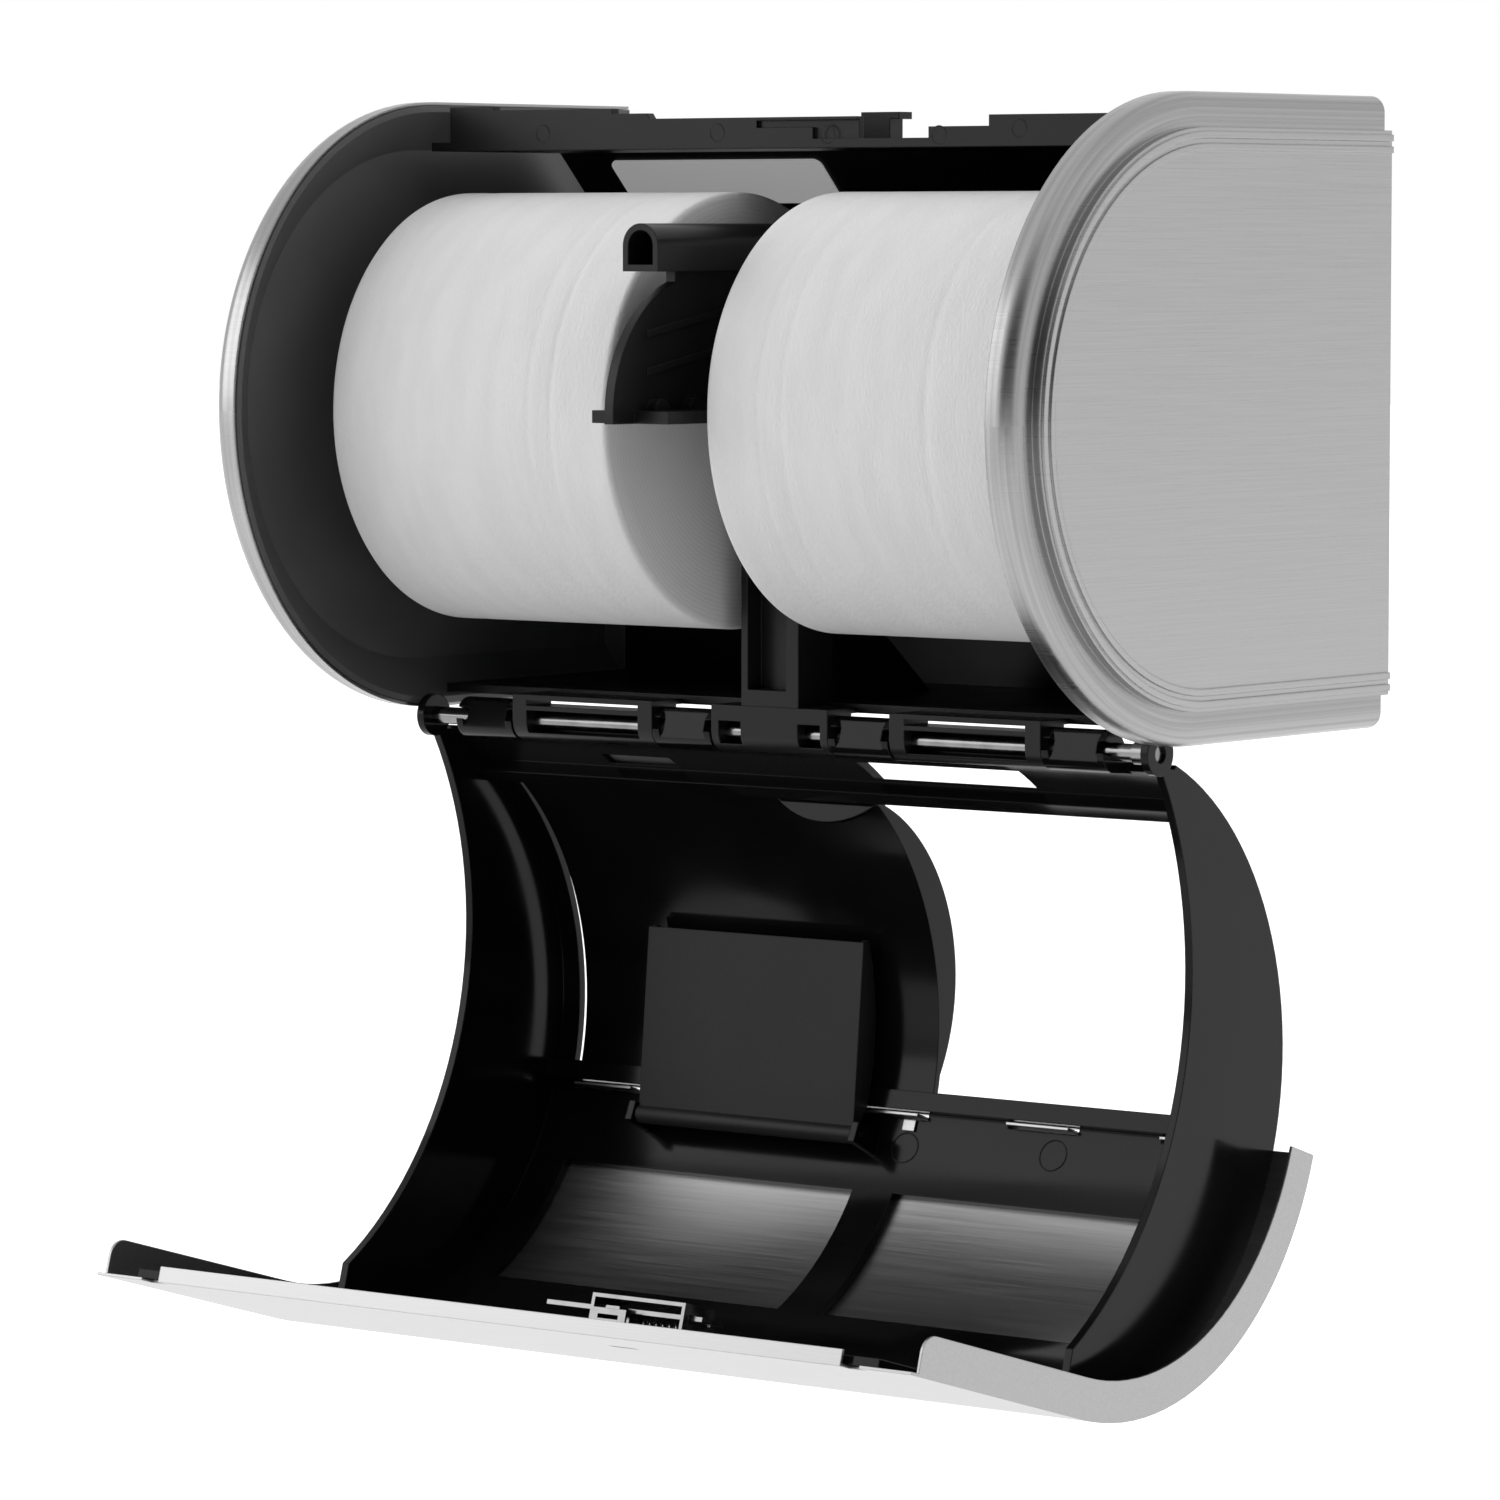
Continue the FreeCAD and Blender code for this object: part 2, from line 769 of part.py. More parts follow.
half_window = size["frame_window"] / 2
window_back = size["hinge_depth"] - half_window
slit_low = -size["bottom_drop"] - size["frame_slit"]
for side in (-1, 1):
    near, far = spans(side, frame_start + size["frame_edge"], frame_end - size["frame_edge"])
    window = box_outline(near, far, HINGE[1] - half_window, HINGE[1] + half_window)
    prism(chassis, "XZ", [window], window_back, -barrel_front, True)
    slit = box_outline(near, far, slit_low, -size["bottom_drop"])
    prism(chassis, "XZ", [slit], size["bottom_reach"] - gauge, -barrel_front, True)
    near, far = spans(side, size["post_half"], size["centre_barrel_half"] - gauge)
    window = box_outline(near, far, HINGE[1] - half_window, HINGE[1] + half_window)
    prism(chassis, "XZ", [window], window_back, -barrel_front, True)
rod_radius = size["rod_diameter"] / 2
prism(
    chassis, "YZ", [(HINGE, rod_radius + size["press_gap"])], -frame_end, frame_end, True
)
screw_radius = size["screw_hole_diameter"] / 2
half_across = size["screw_spacing_x"] / 2
half_up = size["screw_spacing_z"] / 2
holes = []
for x in (-half_across, half_across):
    for z in (-half_up, half_up):
        holes.append(((x, z), screw_radius))
prism(chassis, "XZ", holes, ZERO, gauge, True)
arm_screw_radius = size["arm_screw_diameter"] / 2
arm_holes = []
for x in (-size["arm_screw_x"], size["arm_screw_x"]):
    arm_holes.append(((x, size["arm_screw_z"]), arm_screw_radius + size["press_gap"]))
prism(chassis, "XZ", arm_holes, ZERO, gauge, True)

# Bare label plate on the sloped inner corner.
label_plate = new_body("label_plate")
round_size = size["label_round"]
left = -size["label_left"]
right = left + size["label_width"]
high = root(size["slope_run"] * size["slope_run"] * 2) - size["label_inset"]
low = high - size["label_height"]
first = (left + round_size, low)
prism(
    label_plate,
    "XY",
    [
        [
            first,
            (right - round_size, low),
            ((right, low + round_size), (right - round_size, low + round_size), 1),
            (right, high - round_size),
            ((right - round_size, high), (right - round_size, high - round_size), 1),
            (left + round_size, high),
            ((left, high - round_size), (left + round_size, high - round_size), 1),
            (left, low + round_size),
            (first, (left + round_size, low + round_size), 1),
        ]
    ],
    ZERO,
    size["label_thick"],
)
tilt = FreeCAD.Rotation(FreeCAD.Vector(1, 0, 0), size["slope_tilt"].value)
label_plate.Placement = FreeCAD.Placement(FreeCAD.Vector(), tilt)
label_plate.setExpression("Placement.Rotation.Angle", size["slope_tilt"].text)
label_plate.setExpression("Placement.Base.y", (-gauge).text)
label_plate.setExpression("Placement.Base.z", (ceiling - size["slope_run"]).text)

# Centre arm that carries the inner ends of both rolls.
arm = new_body("centre_roll_arm")
web_half = size["arm_web_half"]
nose = (-size["arm_nose_depth"], ZERO)
nose_drop = size["arm_front"] - size["arm_nose_depth"]
nose_rise = root(size["arm_nose_radius"] * size["arm_nose_radius"] - nose_drop * nose_drop)
half_flange = size["arm_flange_thick"] / 2
nose_reach = root(size["arm_nose_radius"] * size["arm_nose_radius"] - half_flange * half_flange)
prism(
    arm,
    "YZ",
    [
        [
            (-gauge, size["arm_top"]),
            (-size["arm_front"], size["arm_top"]),
            (-size["arm_front"], nose_rise),
            ((nose[0] - nose_reach, -half_flange), nose, 1),
            (-gauge, -half_flange),
        ]
    ],
    -web_half,
    web_half,
)
foot = box_outline(
    -size["arm_foot_half"], size["arm_foot_half"], -size["arm_foot_low"], size["arm_foot_high"]
)
prism(arm, "XZ", [foot], gauge, gauge + size["arm_foot_thick"])
prism(arm, "XZ", arm_holes, gauge, gauge + size["arm_foot_thick"], True)
flange = box_outline(
    -size["arm_flange_half"],
    size["arm_flange_half"],
    -size["arm_flange_front"],
    -size["arm_flange_back"],
)
prism(arm, "XY", [flange], -half_flange, half_flange)
tube_low = size["arm_top"] - size["arm_tube_wall"]
tube_mid = size["arm_top"] + size["arm_tube_side"]
tube_half = size["arm_tube_half"]
tube = [
    (-tube_half, tube_low),
    (tube_half, tube_low),
    (tube_half, tube_mid),
    ((-tube_half, tube_mid), (ZERO, tube_mid), 1),
]
tube_top = tube_mid + tube_half
tube_back = gauge + tube_top - (ceiling - size["slope_run"]) + gauge
prism(arm, "XZ", [tube], tube_back, size["arm_tube_front"])
bore_half = tube_half - size["arm_tube_wall"]
hollow = [
    (-bore_half, size["arm_top"]),
    (bore_half, size["arm_top"]),
    (bore_half, tube_mid),
    ((-bore_half, tube_mid), (ZERO, tube_mid), 1),
]
tube_end = size["arm_tube_front"] - size["arm_tube_hollow"]
prism(arm, "XZ", [hollow], tube_end, size["arm_tube_front"], True)
for low in (size["arm_rib_low"], size["arm_rib_high"]):
    rib = [
        (-size["arm_rib_front"], low),
        (-size["arm_rib_back"], low + size["arm_rib_rise"]),
        (-size["arm_rib_back"], low + size["arm_rib_rise"] + size["arm_rib_width"]),
        (-size["arm_rib_front"], low + size["arm_rib_width"]),
    ]
    prism(arm, "YZ", [rib], web_half, web_half + size["arm_rib_proud"])
for shift in (ZERO, size["arm_boss_pitch"]):
    place = shift - size["arm_boss_front"]
    reach = size["arm_boss_radius"]
    boss = [
        (place - reach, ZERO),
        (place + reach, ZERO),
        (place + reach, half_flange),
        ((place - reach, half_flange), (place, half_flange), 1),
    ]
    prism(arm, "YZ", [boss], web_half, web_half + size["arm_boss_length"])
hub_face = size["roll_half_gap"] - size["hub_end_gap"]
nose_radius = size["nose_diameter"] / 2
for side in (-1, 1):
    start, end = spans(side, ZERO, hub_face)
    prism(arm, "YZ", [(AXIS, size["hub_disc_radius"])], start, end)
    start, end = spans(side, hub_face, hub_face + size["nose_length"])
    prism(arm, "YZ", [(AXIS, nose_radius)], start, end)

# Two screws that hold the arm's foot to the back wall.
for label, x in (("arm_screw_left", -size["arm_screw_x"]), ("arm_screw_right", size["arm_screw_x"])):
    screw = new_body(label)
    centre = (x, size["arm_screw_z"])
    under_head = gauge + size["arm_foot_thick"]
    prism(screw, "XZ", [(centre, arm_screw_radius)], ZERO, under_head)
    head_end = under_head + size["arm_screw_head_thick"]
    prism(screw, "XZ", [(centre, size["arm_screw_head"] / 2)], under_head, head_end)

# Hinge rod, fixed in the chassis barrels, swollen near its right end.
rod = new_body("hinge_rod")
liner_half = rim_x - size["liner_side_gap"]
cheek_inner = liner_half - size["cheek_thick"]
rod_end = liner_half - size["rod_end_gap"] / 2
prism(rod, "YZ", [(HINGE, rod_radius)], -rod_end, rod_end)
swell_end = cheek_inner - size["rod_end_gap"]
swell_start = swell_end - size["rod_swell_length"]
prism(rod, "YZ", [(HINGE, size["rod_swell_diameter"] / 2)], swell_start, swell_end)

# Coreless paper rolls.
for label, side in (("left_roll", -1), ("right_roll", 1)):
    roll = new_body(label)
    start, end = spans(side, size["roll_half_gap"], roll_end)
    rings = [(AXIS, size["roll_diameter"] / 2), (AXIS, size["roll_bore"] / 2)]
    prism(roll, "YZ", rings, start, end)

# Outer hubs: a hollow plunger, a collar that keeps it in its cup, and a spring behind.
plunger_front = roll_end + size["plunger_gap"]
plunger_back = plunger_front + size["plunger_length"]
flange_front = plunger_back - size["plunger_flange_thick"]
bore_front = plunger_front + size["plunger_front_wall"]
for label, side in (("left_hub", -1), ("right_hub", 1)):
    hub = new_body(label)
    start, end = spans(side, plunger_front, plunger_back)
    prism(hub, "YZ", [(AXIS, size["plunger_diameter"] / 2)], start, end)
    start, end = spans(side, roll_end - size["nose_length"], plunger_front)
    prism(hub, "YZ", [(AXIS, nose_radius)], start, end)
    start, end = spans(side, flange_front, plunger_back)
    prism(hub, "YZ", [(AXIS, size["plunger_flange_diameter"] / 2)], start, end)
    start, end = spans(side, bore_front, plunger_back)
    prism(hub, "YZ", [(AXIS, size["plunger_bore"] / 2)], start, end, True)
for label, side in (("left_hub_collar", -1), ("right_hub_collar", 1)):
    collar = new_body(label)
    start, end = spans(side, cup_front - size["collar_thick"], cup_front)
    hole = size["plunger_diameter"] / 2 + size["running_gap"]
    prism(collar, "YZ", [(AXIS, size["cup_radius"]), (AXIS, hole)], start, end)


def coil_point(turn, start, pitch, radius, centre):
    angle = 2 * math.pi * turn
    across = radius * math.cos(angle)
    up = radius * math.sin(angle)
    return FreeCAD.Vector(start + pitch * turn, centre[0] + across, centre[1] + up)


def coil_heading(turn, pitch, radius):
    angle = 2 * math.pi * turn
    round_way = 2 * math.pi * radius
    heading = FreeCAD.Vector(
        pitch, -round_way * math.sin(angle), round_way * math.cos(angle)
    )
    return heading.normalize()


def tangent_arc(here, knee, there):
    """Arc from here to there whose end tangents meet at the knee."""
    chord_middle = (here + there) / 2
    bend = (knee - here).getAngle(there - knee)
    radius = (knee - here).Length / math.tan(bend / 2)
    rise = radius * (1 - math.cos(bend / 2))
    crown = chord_middle + (knee - chord_middle).normalize() * rise
    return Part.Arc(here, crown, there).toShape()


def coil_spring(label, start, end, turns, radius, wire, centre):
    """Round-wire compression spring along X, two tangent arcs to each half turn."""
    pitch = (end - start - wire) / turns
    first = start + wire / 2
    edges = []
    marks = []
    for half in range(2 * int(turns)):
        here = coil_point(half / 2, first, pitch, radius, centre)
        there = coil_point((half + 1) / 2, first, pitch, radius, centre)
        leave = coil_heading(half / 2, pitch, radius)
        arrive = coil_heading((half + 1) / 2, pitch, radius)
        span = there - here
        spread = 1 - leave.dot(arrive)
        along = span.dot(leave + arrive)
        arm_length = math.sqrt(along * along + 2 * spread * span.dot(span)) - along
        arm_length = arm_length / (2 * spread)
        knee_one = here + leave * arm_length
        knee_two = there - arrive * arm_length
        joint = (knee_one + knee_two) / 2
        edges.append(tangent_arc(here, knee_one, joint))
        edges.append(tangent_arc(joint, knee_two, there))
        marks.extend(edges[-2].discretize(6)[:-1] + edges[-1].discretize(6)[:-1])
    path = Part.Wire(edges)
    section = Part.Circle(
        coil_point(0, first, pitch, radius, centre), coil_heading(0, pitch, radius), wire / 2
    )
    shape = path.makePipeShell([Part.Wire([section.toShape()])], True, False)
    apart = [
        (one - two).Length
        for place, one in enumerate(marks)
        for two in marks[place + len(marks) // int(turns) // 2 :]
    ]
    print("%s least gap %.2f mm" % (label, min(apart) - wire))
    feature = doc.addObject("Part::Feature", label)
    feature.Label = label
    feature.Shape = Part.Solid(shape.Solids[0]) if shape.Solids else shape
    return feature


# Springs sealed behind the plungers, as the sleeve that each coil fills.
for label, side in (("left_hub_spring", -1), ("right_hub_spring", 1)):
    sleeve = new_body(label)
    start, end = spans(
        side, bore_front + size["spring_end_gap"], floor_x - size["spring_end_gap"]
    )
    half_wire = size["hub_spring_wire"] / 2
    coil = size["hub_spring_radius"]
    prism(sleeve, "YZ", [(AXIS, coil + half_wire), (AXIS, coil - half_wire)], start, end)

# Cover pieces are drawn in the shut position and hung open from the hinge rod.
swing = size["open_angle"]
hang_y = HINGE[0] - HINGE[0] * cosine(swing) + HINGE[1] * sine(swing)
hang_z = HINGE[1] - HINGE[0] * sine(swing) - HINGE[1] * cosine(swing)


def hang_open(piece):
    turn = FreeCAD.Rotation(FreeCAD.Vector(1, 0, 0), swing.value)
    place = FreeCAD.Vector(0, hang_y.value, hang_z.value)
    piece.Placement = FreeCAD.Placement(place, turn)
    piece.setExpression("Placement.Base.y", hang_y.text)
    piece.setExpression("Placement.Base.z", hang_z.text)
    piece.setExpression("Placement.Rotation.Angle", swing.text)


def shell_outline(inner, outer, foot_angle, end_depth):
    """Curved front and flat top of the cover, from its foot to its rear edge."""
    return [
        polar(outer, foot_angle),
        ((AXIS[0], outer), AXIS, -1),
        (-end_depth, outer),
        (-end_depth, inner),
        (AXIS[0], inner),
        (polar(inner, foot_angle), AXIS, 1),
    ]


skin_inner = size["skin_inner_radius"]
skin_outer = skin_inner + size["skin_sheet"]
skin_half = band_x + size["skin_side_gap"] + size["skin_sheet"]
liner_outer = skin_inner - size["skin_gap"]
liner_inner = liner_outer - size["liner_thick"]
margin = size["liner_thick"]
tab_high = size["skin_end_angle"] - size["tab_angle"]
tab_places = []
for step in range(-2, 3):
    tab_places.append(size["tab_pitch"] * step)
key_left = size["bracket_left"] + size["bracket_foot"] + size["bracket_foot"] / 2
key_slot = box_outline(
    key_left,
    key_left + size["key_slot_length"],
    -size["lock_depth"] - size["key_slot_width"] / 2,
    size["key_slot_width"] / 2 - size["lock_depth"],
)

# Cover liner: shell, cheeks, knuckles, door guides and flap ears in one moulding.
liner = new_body("cover_liner")
prism(
    liner,
    "YZ",
    [shell_outline(liner_inner, liner_outer, size["liner_start_angle"], size["liner_end_depth"])],
    -liner_half,
    liner_half,
)
middle_radius = (liner_inner + liner_outer) / 2
end_across = size["cheek_end_depth"] - size["axis_depth"]
end_up = root(middle_radius * middle_radius - end_across * end_across)
cheek_top = (-size["cheek_end_depth"], size["cheek_end_height"])
cheek = [
    cheek_top,
    (-size["cheek_end_depth"], end_up),
    (polar(middle_radius, size["liner_start_angle"]), AXIS, 1),
    (-size["cheek_foot_depth"], -size["cheek_foot_drop"]),
    (cheek_top, (-size["cheek_arc_depth"], -size["cheek_arc_drop"]), -1),
]
bite_angle = size["liner_start_angle"] - size["guide_rib_angle"]
knuckle_radius = size["knuckle_diameter"] / 2
knuckle = [
    (HINGE[0], HINGE[1] + knuckle_radius),
    ((HINGE[0], HINGE[1] - knuckle_radius), HINGE, -1),
    polar(liner_outer, bite_angle),
    polar(liner_inner, bite_angle),
]
notch_half = size["knuckle_notch_height"] / 2
notch_start = size["hinge_depth"] - knuckle_radius - margin
flat_end = size["hinge_depth"] - size["knuckle_flat"]
notches = []
flats = []
for side in (-1, 1):
    start, end = spans(side, cheek_inner, liner_half)
    prism(liner, "YZ", [cheek], start, end)
    prism(liner, "YZ", [(HINGE, size["ear_radius"])], start, end)
    for near in (inner_knuckle, outer_knuckle):
        far = near + size["knuckle_width"]
        start, end = spans(side, near, far)
        prism(liner, "YZ", [knuckle], start, end)
        for place in (near, far - size["knuckle_notch_width"]):
            start, end = spans(side, place, place + size["knuckle_notch_width"])
            notches.append(box_outline(start, end, HINGE[1] - notch_half, HINGE[1] + notch_half))
        start, end = spans(side, near + size["knuckle_rib_width"], far - size["knuckle_rib_width"])
        flats.append(box_outline(start, end, HINGE[1] - knuckle_radius, HINGE[1] + knuckle_radius))
prism(liner, "XZ", notches, notch_start, size["hinge_depth"], True)
prism(liner, "XZ", flats, notch_start, flat_end, True)
opening = sector(
    liner_inner - margin,
    liner_outer + margin,
    size["opening_high_angle"],
    size["opening_low_angle"],
)
opening_left = size["door_left"] + size["opening_door_gap"]
prism(liner, "YZ", [opening], -opening_left, size["opening_half"], True)
window = sector(
    liner_inner - margin,
    liner_outer + margin,
    size["window_high_angle"],
    size["window_low_angle"],
)


def strip_cut(height):
    """Slot in the hinge strip, sloped with the mould's pull."""
    fall = (size["strip_slot_front"] - size["strip_slot_back"]) * size["strip_slot_slope_share"]
    front = -size["strip_slot_front"]
    back = -size["strip_slot_back"]
    high = size["strip_slot_height"] - size["strip_slot_low"]
    return [
        (front, high - height),
        (back, high - height + fall),
        (back, high + fall),
        (front, high),
    ]


for side in (-1, 1):
    start, end = spans(side, size["window_start"], size["window_end"])
    prism(liner, "YZ", [window], start, end, True)
tab_slot = sector(
    liner_inner - margin,
    liner_outer + margin,
    tab_high - size["tab_slot_angle"],
    size["skin_end_angle"] + size["tab_slot_angle"],
)
for place in tab_places:
    half = size["tab_slot_width"] / 2
    prism(liner, "YZ", [tab_slot], place - half, place + half, True)
prism(liner, "XY", [key_slot], liner_inner - margin, liner_outer + margin, True)
door_outer = liner_inner - size["door_gap"]
door_inner = door_outer - size["door_thick"]
lip_outer = door_inner - size["door_gap"]
lip_inner = lip_outer - size["guide_lip"]
clear = size["guide_clear_angle"]
high_rib = size["door_high_angle"] - clear
low_rib = size["door_low_angle"] + clear
guides = [
    sector(lip_inner, middle_radius, high_rib - size["guide_rib_angle"], high_rib),
    sector(lip_inner, middle_radius, low_rib, low_rib + size["guide_rib_angle"]),
    sector(
        lip_inner,
        lip_outer,
        high_rib - size["guide_rib_angle"],
        high_rib + size["guide_hold_angle"],
    ),
    sector(
        lip_inner,
        lip_outer,
        low_rib - size["guide_hold_angle"],
        low_rib + size["guide_rib_angle"],
    ),
]
for guide in guides:
    prism(liner, "YZ", [guide], -cheek_inner, cheek_inner)
slot = strip_cut(size["strip_slot_height"])
prism(liner, "YZ", [slot], size["strip_slot_start"], size["strip_slot_end"], True)
vent = strip_cut(size["strip_vent_height"])
prism(liner, "YZ", [vent], -size["strip_vent_end"], -size["strip_vent_start"], True)
pivot = polar(size["pivot_radius"], size["pivot_angle"])
pin_radius = size["pin_diameter"] / 2
ear = sector(
    size["pivot_radius"] - size["flap_ear_reach"],
    middle_radius,
    size["pivot_angle"] - size["flap_ear_angle"],
    size["pivot_angle"] + size["flap_ear_angle"],
)
left_ear = -size["flap_left"] - size["ear_gap"]
right_ear = size["ear_gap"] - size["flap_right"]
ear_thick = size["flap_ear_thick"]
prism(liner, "YZ", [ear], left_ear - ear_thick, left_ear)
prism(liner, "YZ", [ear], right_ear, right_ear + ear_thick)
pin_hole = (pivot, pin_radius + size["press_gap"])
prism(liner, "YZ", [pin_hole], left_ear - ear_thick, right_ear + ear_thick, True)
rod_hole = (HINGE, rod_radius + size["running_gap"])
prism(liner, "YZ", [rod_hole], -liner_half, liner_half, True)
rivet_radius = size["rivet_diameter"] / 2
first_rivet = size["bracket_left"] + size["bracket_foot"] / 2
second_rivet = first_rivet + size["bracket_foot"] + size["bracket_span"]
rivet_holes = []
for x in (first_rivet, second_rivet):
    rivet_holes.append(((x, -size["lock_depth"]), rivet_radius + size["running_gap"]))
prism(liner, "XY", rivet_holes, liner_inner - margin, liner_outer + margin, True)
hang_open(liner)

# Cover skin: stainless sheet with side flanges, a turned lip and tabs through the liner.
skin = new_body("cover_skin")
prism(
    skin,
    "YZ",
    [shell_outline(skin_inner, skin_outer, size["skin_end_angle"], size["skin_lip_depth"])],
    -skin_half,
    skin_half,
)
flange_inner = skin_outer - size["skin_flange_height"]
flange_end = -size["skin_flange_end"]
tip_round = size["skin_flange_round"]
flange = [
    polar(skin_outer, size["skin_end_angle"]),
    ((AXIS[0], skin_outer), AXIS, -1),
    (flange_end, skin_outer),
    (flange_end, flange_inner + tip_round),
    (
        (flange_end - tip_round, flange_inner),
        (flange_end - tip_round, flange_inner + tip_round),
        -1,
    ),
    (AXIS[0], flange_inner),
    (polar(flange_inner, size["skin_end_angle"]), AXIS, 1),
]
for side in (-1, 1):
    start, end = spans(side, skin_half - size["skin_sheet"], skin_half)
    prism(skin, "YZ", [flange], start, end)
lip = box_outline(
    -size["skin_lip_depth"] - size["skin_sheet"],
    -size["skin_lip_depth"],
    skin_outer - size["skin_lip_height"],
    skin_outer,
)
prism(skin, "YZ", [lip], -size["skin_lip_half"], size["skin_lip_half"])
for side in (-1, 1):
    near, far = spans(side, size["skin_lip_half"], size["skin_lip_half"] + size["skin_notch_width"])
    notch = box_outline(
        near, far, -size["skin_lip_depth"] - size["skin_notch_depth"], -size["skin_lip_depth"]
    )
    prism(skin, "XY", [notch], skin_inner - margin, skin_outer + margin, True)
tab = sector(
    liner_inner - size["tab_reach"],
    skin_inner + size["skin_sheet"] / 2,
    tab_high,
    size["skin_end_angle"],
)
for place in tab_places:
    half = size["tab_width"] / 2
    prism(skin, "YZ", [tab], place - half, place + half)
prism(skin, "XY", [key_slot], skin_inner - margin, skin_outer + margin, True)
hang_open(skin)

# Sliding door with its crescent grip edge and thumb tab.
door = new_body("sliding_door")
panel = sector(door_inner, door_outer, size["door_high_angle"], size["door_low_angle"])
prism(door, "YZ", [panel], -size["door_left"], size["door_right"])
grip_half = (size["grip_low_angle"] - size["grip_high_angle"]) / 2
grip_middle = size["grip_high_angle"] + grip_half
grip_root = door_outer - size["door_thick"] / 2
chord_half = grip_root * sine(grip_half)
chord_depth = grip_root * cosine(grip_half)
peak = door_outer + size["grip_bulge"]
bulge = peak - chord_depth
grip_radius = (chord_half * chord_half + bulge * bulge) / (bulge * 2)
grip_first = polar(grip_root, size["grip_high_angle"])
grip = [
    grip_first,
    (
        polar(grip_root, size["grip_low_angle"]),
        polar(peak - grip_radius, grip_middle),
        1,
    ),
    (grip_first, AXIS, -1),
]
prism(door, "YZ", [grip], size["door_right"] - size["grip_thick"], size["door_right"])
thumb_left = -size["thumb_half"] - size["thumb_centre"]
thumb_right = size["thumb_half"] - size["thumb_centre"]
thumb_across = size["thumb_depth"] - size["axis_depth"]
thumb_root = -root(grip_root * grip_root - thumb_across * thumb_across)
thumb_rise = size["thumb_reach"]
thumb_radius = (size["thumb_half"] * size["thumb_half"] + thumb_rise * thumb_rise) / (thumb_rise * 2)
thumb_first = (thumb_left, thumb_root)
thumb = [
    thumb_first,
    (thumb_right, thumb_root),
    (thumb_first, (-size["thumb_centre"], thumb_root + thumb_rise - thumb_radius), 1),
]
prism(door, "XZ", [thumb], size["thumb_depth"], size["thumb_depth"] + size["thumb_thick"])
hang_open(door)

# Flap hinged over the door, and the pin it turns on.
flap = new_body("roll_flap")
tip = polar(size["flap_tip_radius"], size["flap_tip_angle"])
run_y = tip[0] - pivot[0]
run_z = tip[1] - pivot[1]
run = root(run_y * run_y + run_z * run_z)
off_y = run_z / run * size["flap_thick"] / 2
off_z = run_y / run * size["flap_thick"] / 2
plate = [
    (pivot[0] + off_y, pivot[1] - off_z),
    (tip[0] + off_y, tip[1] - off_z),
    (tip[0] - off_y, tip[1] + off_z),
    (pivot[0] - off_y, pivot[1] + off_z),
]
prism(flap, "YZ", [plate], -size["flap_left"], -size["flap_right"])
prism(
    flap,
    "YZ",
    [(pivot, size["flap_knuckle_radius"])],
    -size["flap_left"],
    -size["flap_right"],
)
skirt = [
    pivot,
    polar(size["flap_skirt_radius"], size["flap_skirt_angle"]),
    (polar(size["flap_skirt_radius"], size["flap_tip_angle"]), AXIS, 1),
    tip,
]
for near in (-size["flap_left"], -size["flap_right"] - size["flap_thick"]):
    prism(flap, "YZ", [skirt], near, near + size["flap_thick"])
pin_turn = (pivot, pin_radius + size["running_gap"])
prism(flap, "YZ", [pin_turn], -size["flap_left"], -size["flap_right"], True)
hang_open(flap)
pin = new_body("flap_pin")
pin_start = left_ear - ear_thick - size["pin_end"]
pin_stop = right_ear + ear_thick + size["pin_end"]
prism(pin, "YZ", [(pivot, pin_radius)], pin_start, pin_stop)
hang_open(pin)

# Lock on the cover's top: bracket, rivets, sliding latch plate and its spring.
bracket = new_body("latch_bracket")
metal = size["bracket_sheet"]
foot_left = size["bracket_left"]
leg_left = foot_left + size["bracket_foot"]
leg_right = leg_left + size["bracket_span"]
foot_right = leg_right + size["bracket_foot"]
crown = liner_inner - size["bracket_height"]
near_side = size["lock_depth"] - size["bracket_width"] / 2
far_side = near_side + size["bracket_width"]
prism(
    bracket,
    "XZ",
    [
        [
            (foot_left, liner_inner),
            (foot_left, liner_inner - metal),
            (leg_left, liner_inner - metal),
            (leg_left, crown),
            (leg_right, crown),
            (leg_right, liner_inner - metal),
            (foot_right, liner_inner - metal),
            (foot_right, liner_inner),
            (leg_right - metal, liner_inner),
            (leg_right - metal, crown + metal),
            (leg_left + metal, crown + metal),
            (leg_left + metal, liner_inner),
        ]
    ],
    near_side,
    far_side,
)
latch_middle = liner_inner - size["latch_drop"]
latch_low = latch_middle - size["latch_thick"] / 2
latch_high = latch_middle + size["latch_thick"] / 2
slide_gap = size["latch_slot_gap"]
latch_near = -size["lock_depth"] - size["latch_width"] / 2
latch_far = latch_near + size["latch_width"]
latch_slot = box_outline(
    latch_near - slide_gap, latch_far + slide_gap, latch_low - slide_gap, latch_high + slide_gap
)
prism(bracket, "YZ", [latch_slot], leg_left - metal, leg_right + metal, True)
prism(bracket, "XY", rivet_holes, liner_inner - metal, liner_inner, True)
hang_open(bracket)
for label, x in (("latch_rivet_left", first_rivet), ("latch_rivet_right", second_rivet)):
    rivet = new_body(label)
    centre = (x, -size["lock_depth"])
    prism(rivet, "XY", [(centre, rivet_radius)], liner_inner - metal, liner_outer)
    head_low = liner_inner - metal - size["rivet_head_thick"]
    prism(rivet, "XY", [(centre, size["rivet_head_diameter"] / 2)], head_low, liner_inner - metal)
    hang_open(rivet)
latch = new_body("latch_plate")
latch_tip = keeper_right + size["latch_tip_gap"]
latch_end = latch_tip + size["latch_length"]
strip = box_outline(latch_tip, latch_end, latch_near, latch_far)
prism(latch, "XY", [strip], latch_low, latch_high)
stop_left = latch_end - size["latch_stop_inset"]
stop_right = stop_left + size["latch_stop_thick"]
stop = box_outline(stop_left, stop_right, latch_near, latch_far)
prism(latch, "XY", [stop], latch_low, latch_high + size["latch_stop_height"])
hang_open(latch)
